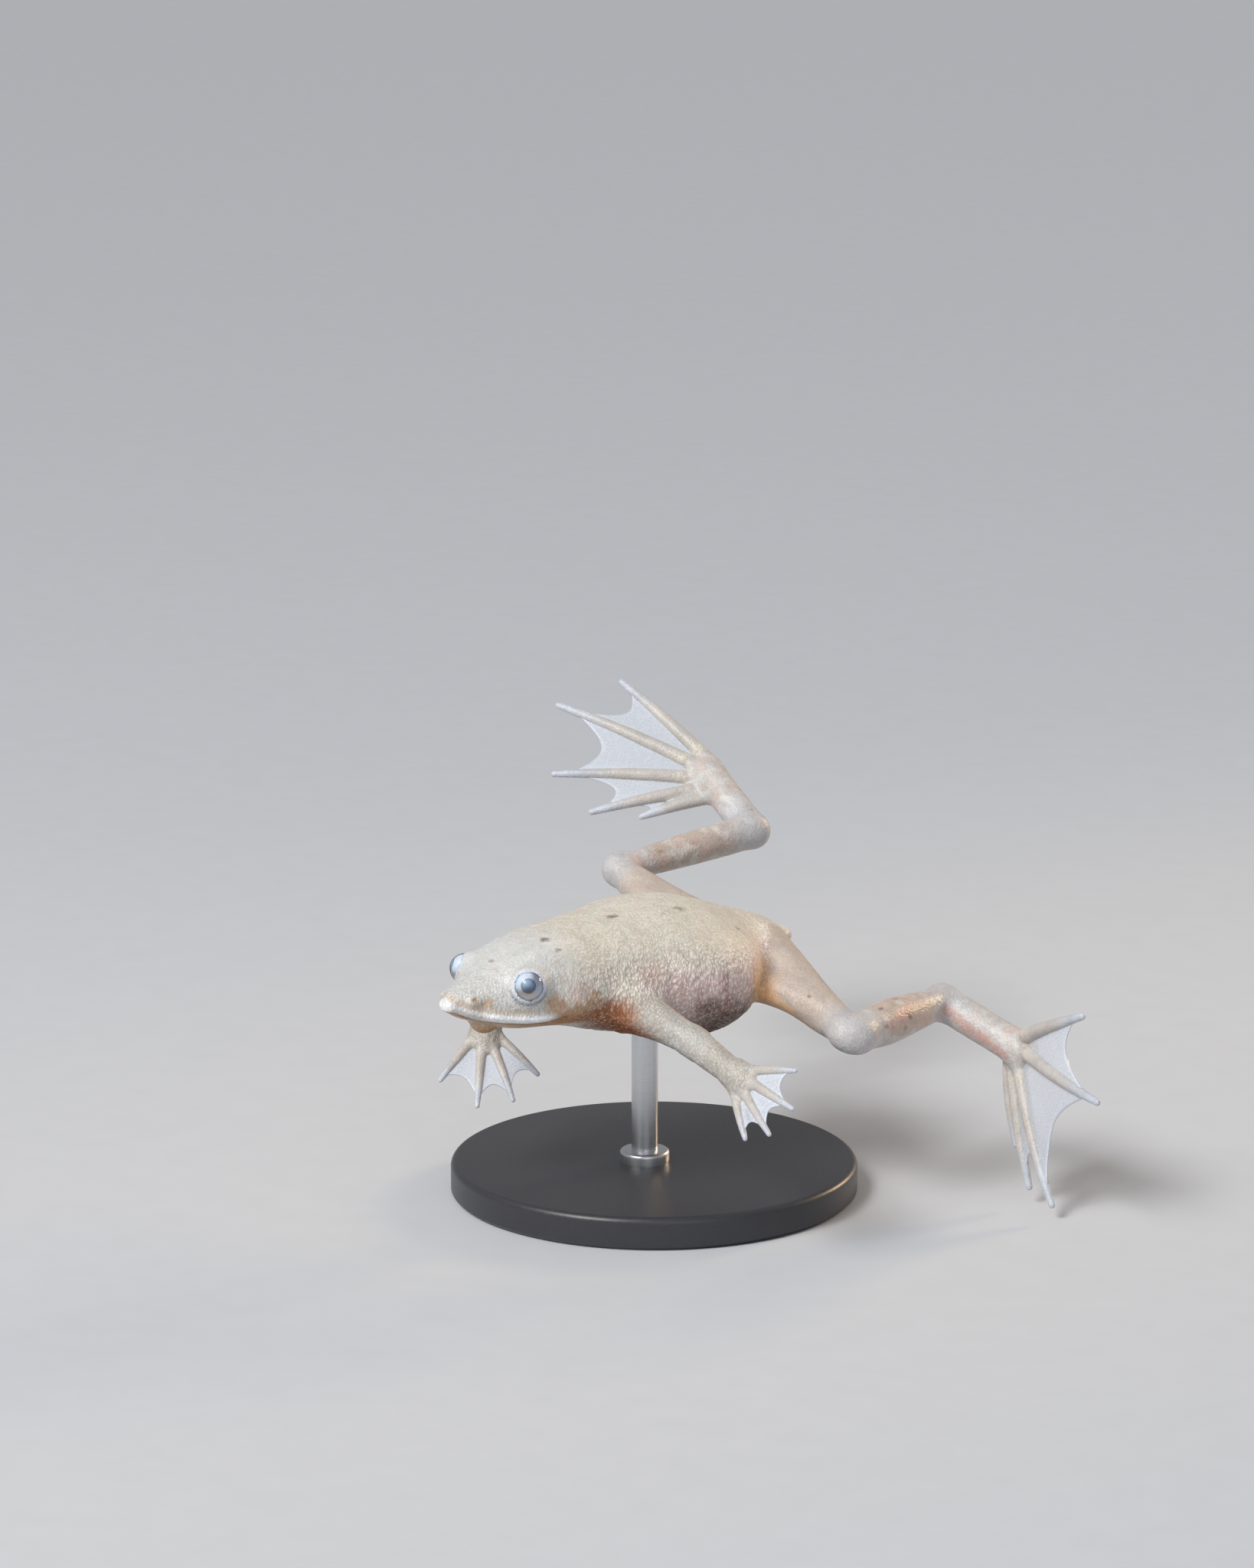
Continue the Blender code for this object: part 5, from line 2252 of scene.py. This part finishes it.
@dataclass
class Stand:
    """Round base with a bevelled, stepped edge, and the rod with its collar. Sizes are millimetres."""

    base_radius: float = 15.5
    base_thickness: float = 2.5
    bevel: float = 0.5
    foot_bevel: float = 0.3
    rod_radius: float = 1.0
    collar_radius: float = 1.9
    collar_height: float = 0.9
    collar_bevel: float = 0.3
    bevel_steps: int = 8
    sharp_from: float = 40.0  # degrees
    sides: int = 160

    def turned(self, name: str, outline: list[Range], middle: Range) -> Object:
        """A solid turned round an upright axis.

        Args:
            name: the piece's name.
            outline: (radius, height) points from the bottom middle round to the top middle, in millimetres.
            middle: x and y of the axis, in millimetres.

        Returns:
            The new object.
        """
        turns = np.linspace(0, math.tau, self.sides, endpoint=False)
        rows = []
        for radius, height in outline:
            x, y = middle[0] + radius * np.cos(turns), middle[1] + radius * np.sin(turns)
            rows.append(np.stack([x, y, np.full(self.sides, height)], axis=1))
        faces: list[tuple[int, ...]] = [tuple(reversed(range(self.sides)))]
        for i in range(len(outline) - 1):
            for k in range(self.sides):
                after = (k + 1) % self.sides
                a, b = i * self.sides, (i + 1) * self.sides
                faces.append((a + k, a + after, b + after, b + k))
        top = (len(outline) - 1) * self.sides
        faces.append(tuple(range(top, top + self.sides)))
        obj = make_object(name, np.concatenate(rows) * MM, faces)
        obj.data.set_sharp_from_angle(angle=math.radians(self.sharp_from))
        return obj

    def rounded(self, radius: float, height: float, bevel: float) -> list[Range]:
        """(radius, height) points of a quarter-round edge that ends at a radius and height."""
        turns = np.linspace(0, math.pi / 2, self.bevel_steps)
        return [(radius - bevel + bevel * math.cos(t), height - bevel + bevel * math.sin(t)) for t in turns]

    def build(self) -> list[Object]:
        """Makes the base, the collar and the rod.

        Returns:
            The three pieces.
        """
        foot = [(self.base_radius - self.foot_bevel, 0.0), (self.base_radius, self.foot_bevel)]
        edge = self.rounded(self.base_radius, self.base_thickness, self.bevel)
        base = self.turned("stand_base", foot + edge, (0.0, 0.0))
        base.data.materials.append(BaseFinish().material())
        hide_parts("stand_base")
        low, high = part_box("stand_rod")
        middle = ((low.x + high.x) / 2 / MM, (low.y + high.y) / 2 / MM)
        rod_outline = [(self.rod_radius, low.z / MM), (self.rod_radius, high.z / MM)]
        rod = self.turned("stand_rod", rod_outline, middle)
        collar_top = self.base_thickness + self.collar_height
        collar_outline = [(self.collar_radius, self.base_thickness)]
        collar_outline += self.rounded(self.collar_radius, collar_top, self.collar_bevel)
        collar = self.turned("stand_collar", collar_outline, middle)
        metal = RodFinish().material()
        for piece in (rod, collar):
            piece.data.materials.append(metal)
        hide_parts("stand_rod")
        return [base, rod, collar]


@dataclass(frozen=True)
class Lamp:
    """A soft square light, with its place and width in metres, power in watts and fan in degrees."""

    name: str
    at: Triple
    size: float
    power: float
    tint: Triple
    spread: float = 180.0


@dataclass
class Studio:
    """Pale floor, soft lights and the camera at the photograph's angle. Sizes are metres."""

    floor_size: float = 12.0
    floor_tint: Tint = (194, 196, 200)
    floor_grain: float = 1 / 300
    floor_shade: Range = (0.97, 1.03)
    world_tint: Tint = (226, 230, 236)
    world_strength: float = 0.40
    key_from: Range = (2.0, 44.0)
    key_strength: float = 2.1
    key_softness: float = 22.0
    key_tint: Triple = (1.0, 0.985, 0.96)
    lamps: tuple[Lamp, ...] = (
        Lamp("softbox", (-0.06, -0.26, 0.34), 0.16, 0.55, (1.0, 0.99, 0.97)),
        Lamp("fill", (0.45, -0.25, 0.22), 0.35, 0.35, (0.90, 0.95, 1.0)),
        Lamp("rim", (0.02, 0.44, 0.15), 0.10, 0.030, (1.0, 0.72, 0.44), 30.0),
    )
    bearing: float = 46.0
    elevation: float = 15.0
    distance: float = 0.420
    lens: float = 126.98
    sensor: float = 36.0
    aim_right: float = -0.003547
    aim_up: float = 0.013837

    def floor(self) -> Object:
        """Makes the floor.

        Returns:
            The floor's object, which isn't part of the model.
        """
        kit = NodeKit("floor")
        grain = kit.noise(kit.place(), self.floor_grain, 3.0).outputs["Fac"]
        shade = kit.span(grain, (0.0, 1.0), self.floor_shade)
        colour = kit.mix(1.0, rgba(self.floor_tint), shade, "MULTIPLY")
        half = self.floor_size / 2
        corners = [(-half, -half, 0), (half, -half, 0), (half, half, 0), (-half, half, 0)]
        mesh = bpy.data.meshes.new("floor")
        mesh.from_pydata(corners, [], [(0, 1, 2, 3)])
        mesh.materials.append(kit.surface({"Base Color": colour, "Roughness": 0.75}))
        floor = bpy.data.objects.new("floor", mesh)
        bpy.context.scene.collection.objects.link(floor)
        return floor

    def aimed(self, name: str, data: bpy.types.ID, towards: Vector) -> Object:
        """Adds a light or camera, turned the way it looks.

        Args:
            name: the new object's name.
            data: the light or camera.
            towards: the direction in which it looks.

        Returns:
            The new object, at the frame's origin.
        """
        obj = bpy.data.objects.new(name, data)
        obj.rotation_mode = "QUATERNION"
        obj.rotation_quaternion = towards.to_track_quat("-Z", "Y")
        bpy.context.scene.collection.objects.link(obj)
        return obj

    def hang(self, lamp: Lamp) -> None:
        """Hangs one light so that it faces the frog.

        Args:
            lamp: the light.
        """
        light = bpy.data.lights.new(lamp.name, "AREA")
        light.size, light.energy, light.color = lamp.size, lamp.power, lamp.tint
        light.spread = math.radians(lamp.spread)
        self.aimed(lamp.name, light, Vector(tuple(MID_BODY * MM)) - Vector(lamp.at)).location = lamp.at

    def key(self) -> None:
        """Adds the broad main light."""
        sun = bpy.data.lights.new("key", "SUN")
        sun.energy, sun.angle = self.key_strength, math.radians(self.key_softness)
        sun.color = self.key_tint
        self.aimed("key", sun, Vector(tuple(-heading(*self.key_from))))

    def surroundings(self) -> None:
        """Sets the pale surroundings and plain colour handling."""
        world = bpy.data.worlds.new("studio")
        world.use_nodes = True
        background = world.node_tree.nodes["Background"]
        background.inputs["Color"].default_value = rgba(self.world_tint)
        background.inputs["Strength"].default_value = self.world_strength
        bpy.context.scene.world = world
        bpy.context.scene.view_settings.view_transform = "Standard"

    def camera(self) -> None:
        """Sets the camera at the photograph's angle and framing."""
        b, e = math.radians(self.bearing), math.radians(self.elevation)
        right = Vector((math.cos(b), math.sin(b), 0.0))
        back = Vector((math.sin(b) * math.cos(e), -math.cos(b) * math.cos(e), math.sin(e)))
        middle = Vector(tuple(MID_BODY * MM))
        camera = bpy.data.cameras.new("camera")
        camera.lens, camera.sensor_width = self.lens, self.sensor
        camera.clip_start, camera.clip_end = 0.01, 50.0
        stand = middle + back * self.distance
        aim = middle + right * self.aim_right + back.cross(right) * self.aim_up
        holder = self.aimed("camera", camera, aim - stand)
        holder.location = stand
        bpy.context.scene.camera = holder

    def build(self) -> None:
        """Makes the floor, lights and camera."""
        self.floor()
        for lamp in self.lamps:
            self.hang(lamp)
        self.key()
        self.surroundings()
        self.camera()


def report(pieces: list[Object]) -> None:
    """Logs the size of each new piece."""
    for piece in pieces:
        log.info("%s has %d faces", piece.name, len(piece.data.polygons))


def main() -> None:
    """Builds every piece in order and reports each one."""
    logging.basicConfig(level=logging.INFO, format="%(relativeCreated)6d ms %(message)s")
    for leftover in list(bpy.data.objects):
        bpy.data.objects.remove(leftover)
    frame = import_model()
    flesh = [n for n in frame["nodes"] if not n.startswith(("stand_", "eye_"))]
    body = FrogBody()
    Studio().build()
    log.info("studio is ready")
    skin = FrogSkin().build(body, flesh)
    report([skin])
    web_finish = WebFinish().material()
    for limb in body.limbs.values():
        look = WebLook.CLEAR if limb.name == "leg_right" else WebLook.FROSTED
        report([WebSet(limb.paddle, web_finish, look).build()])
    for side in Side:
        report(Eye(body.eyes, side).build())
    report(Stand().build())


if __name__ == "__main__":
    main()
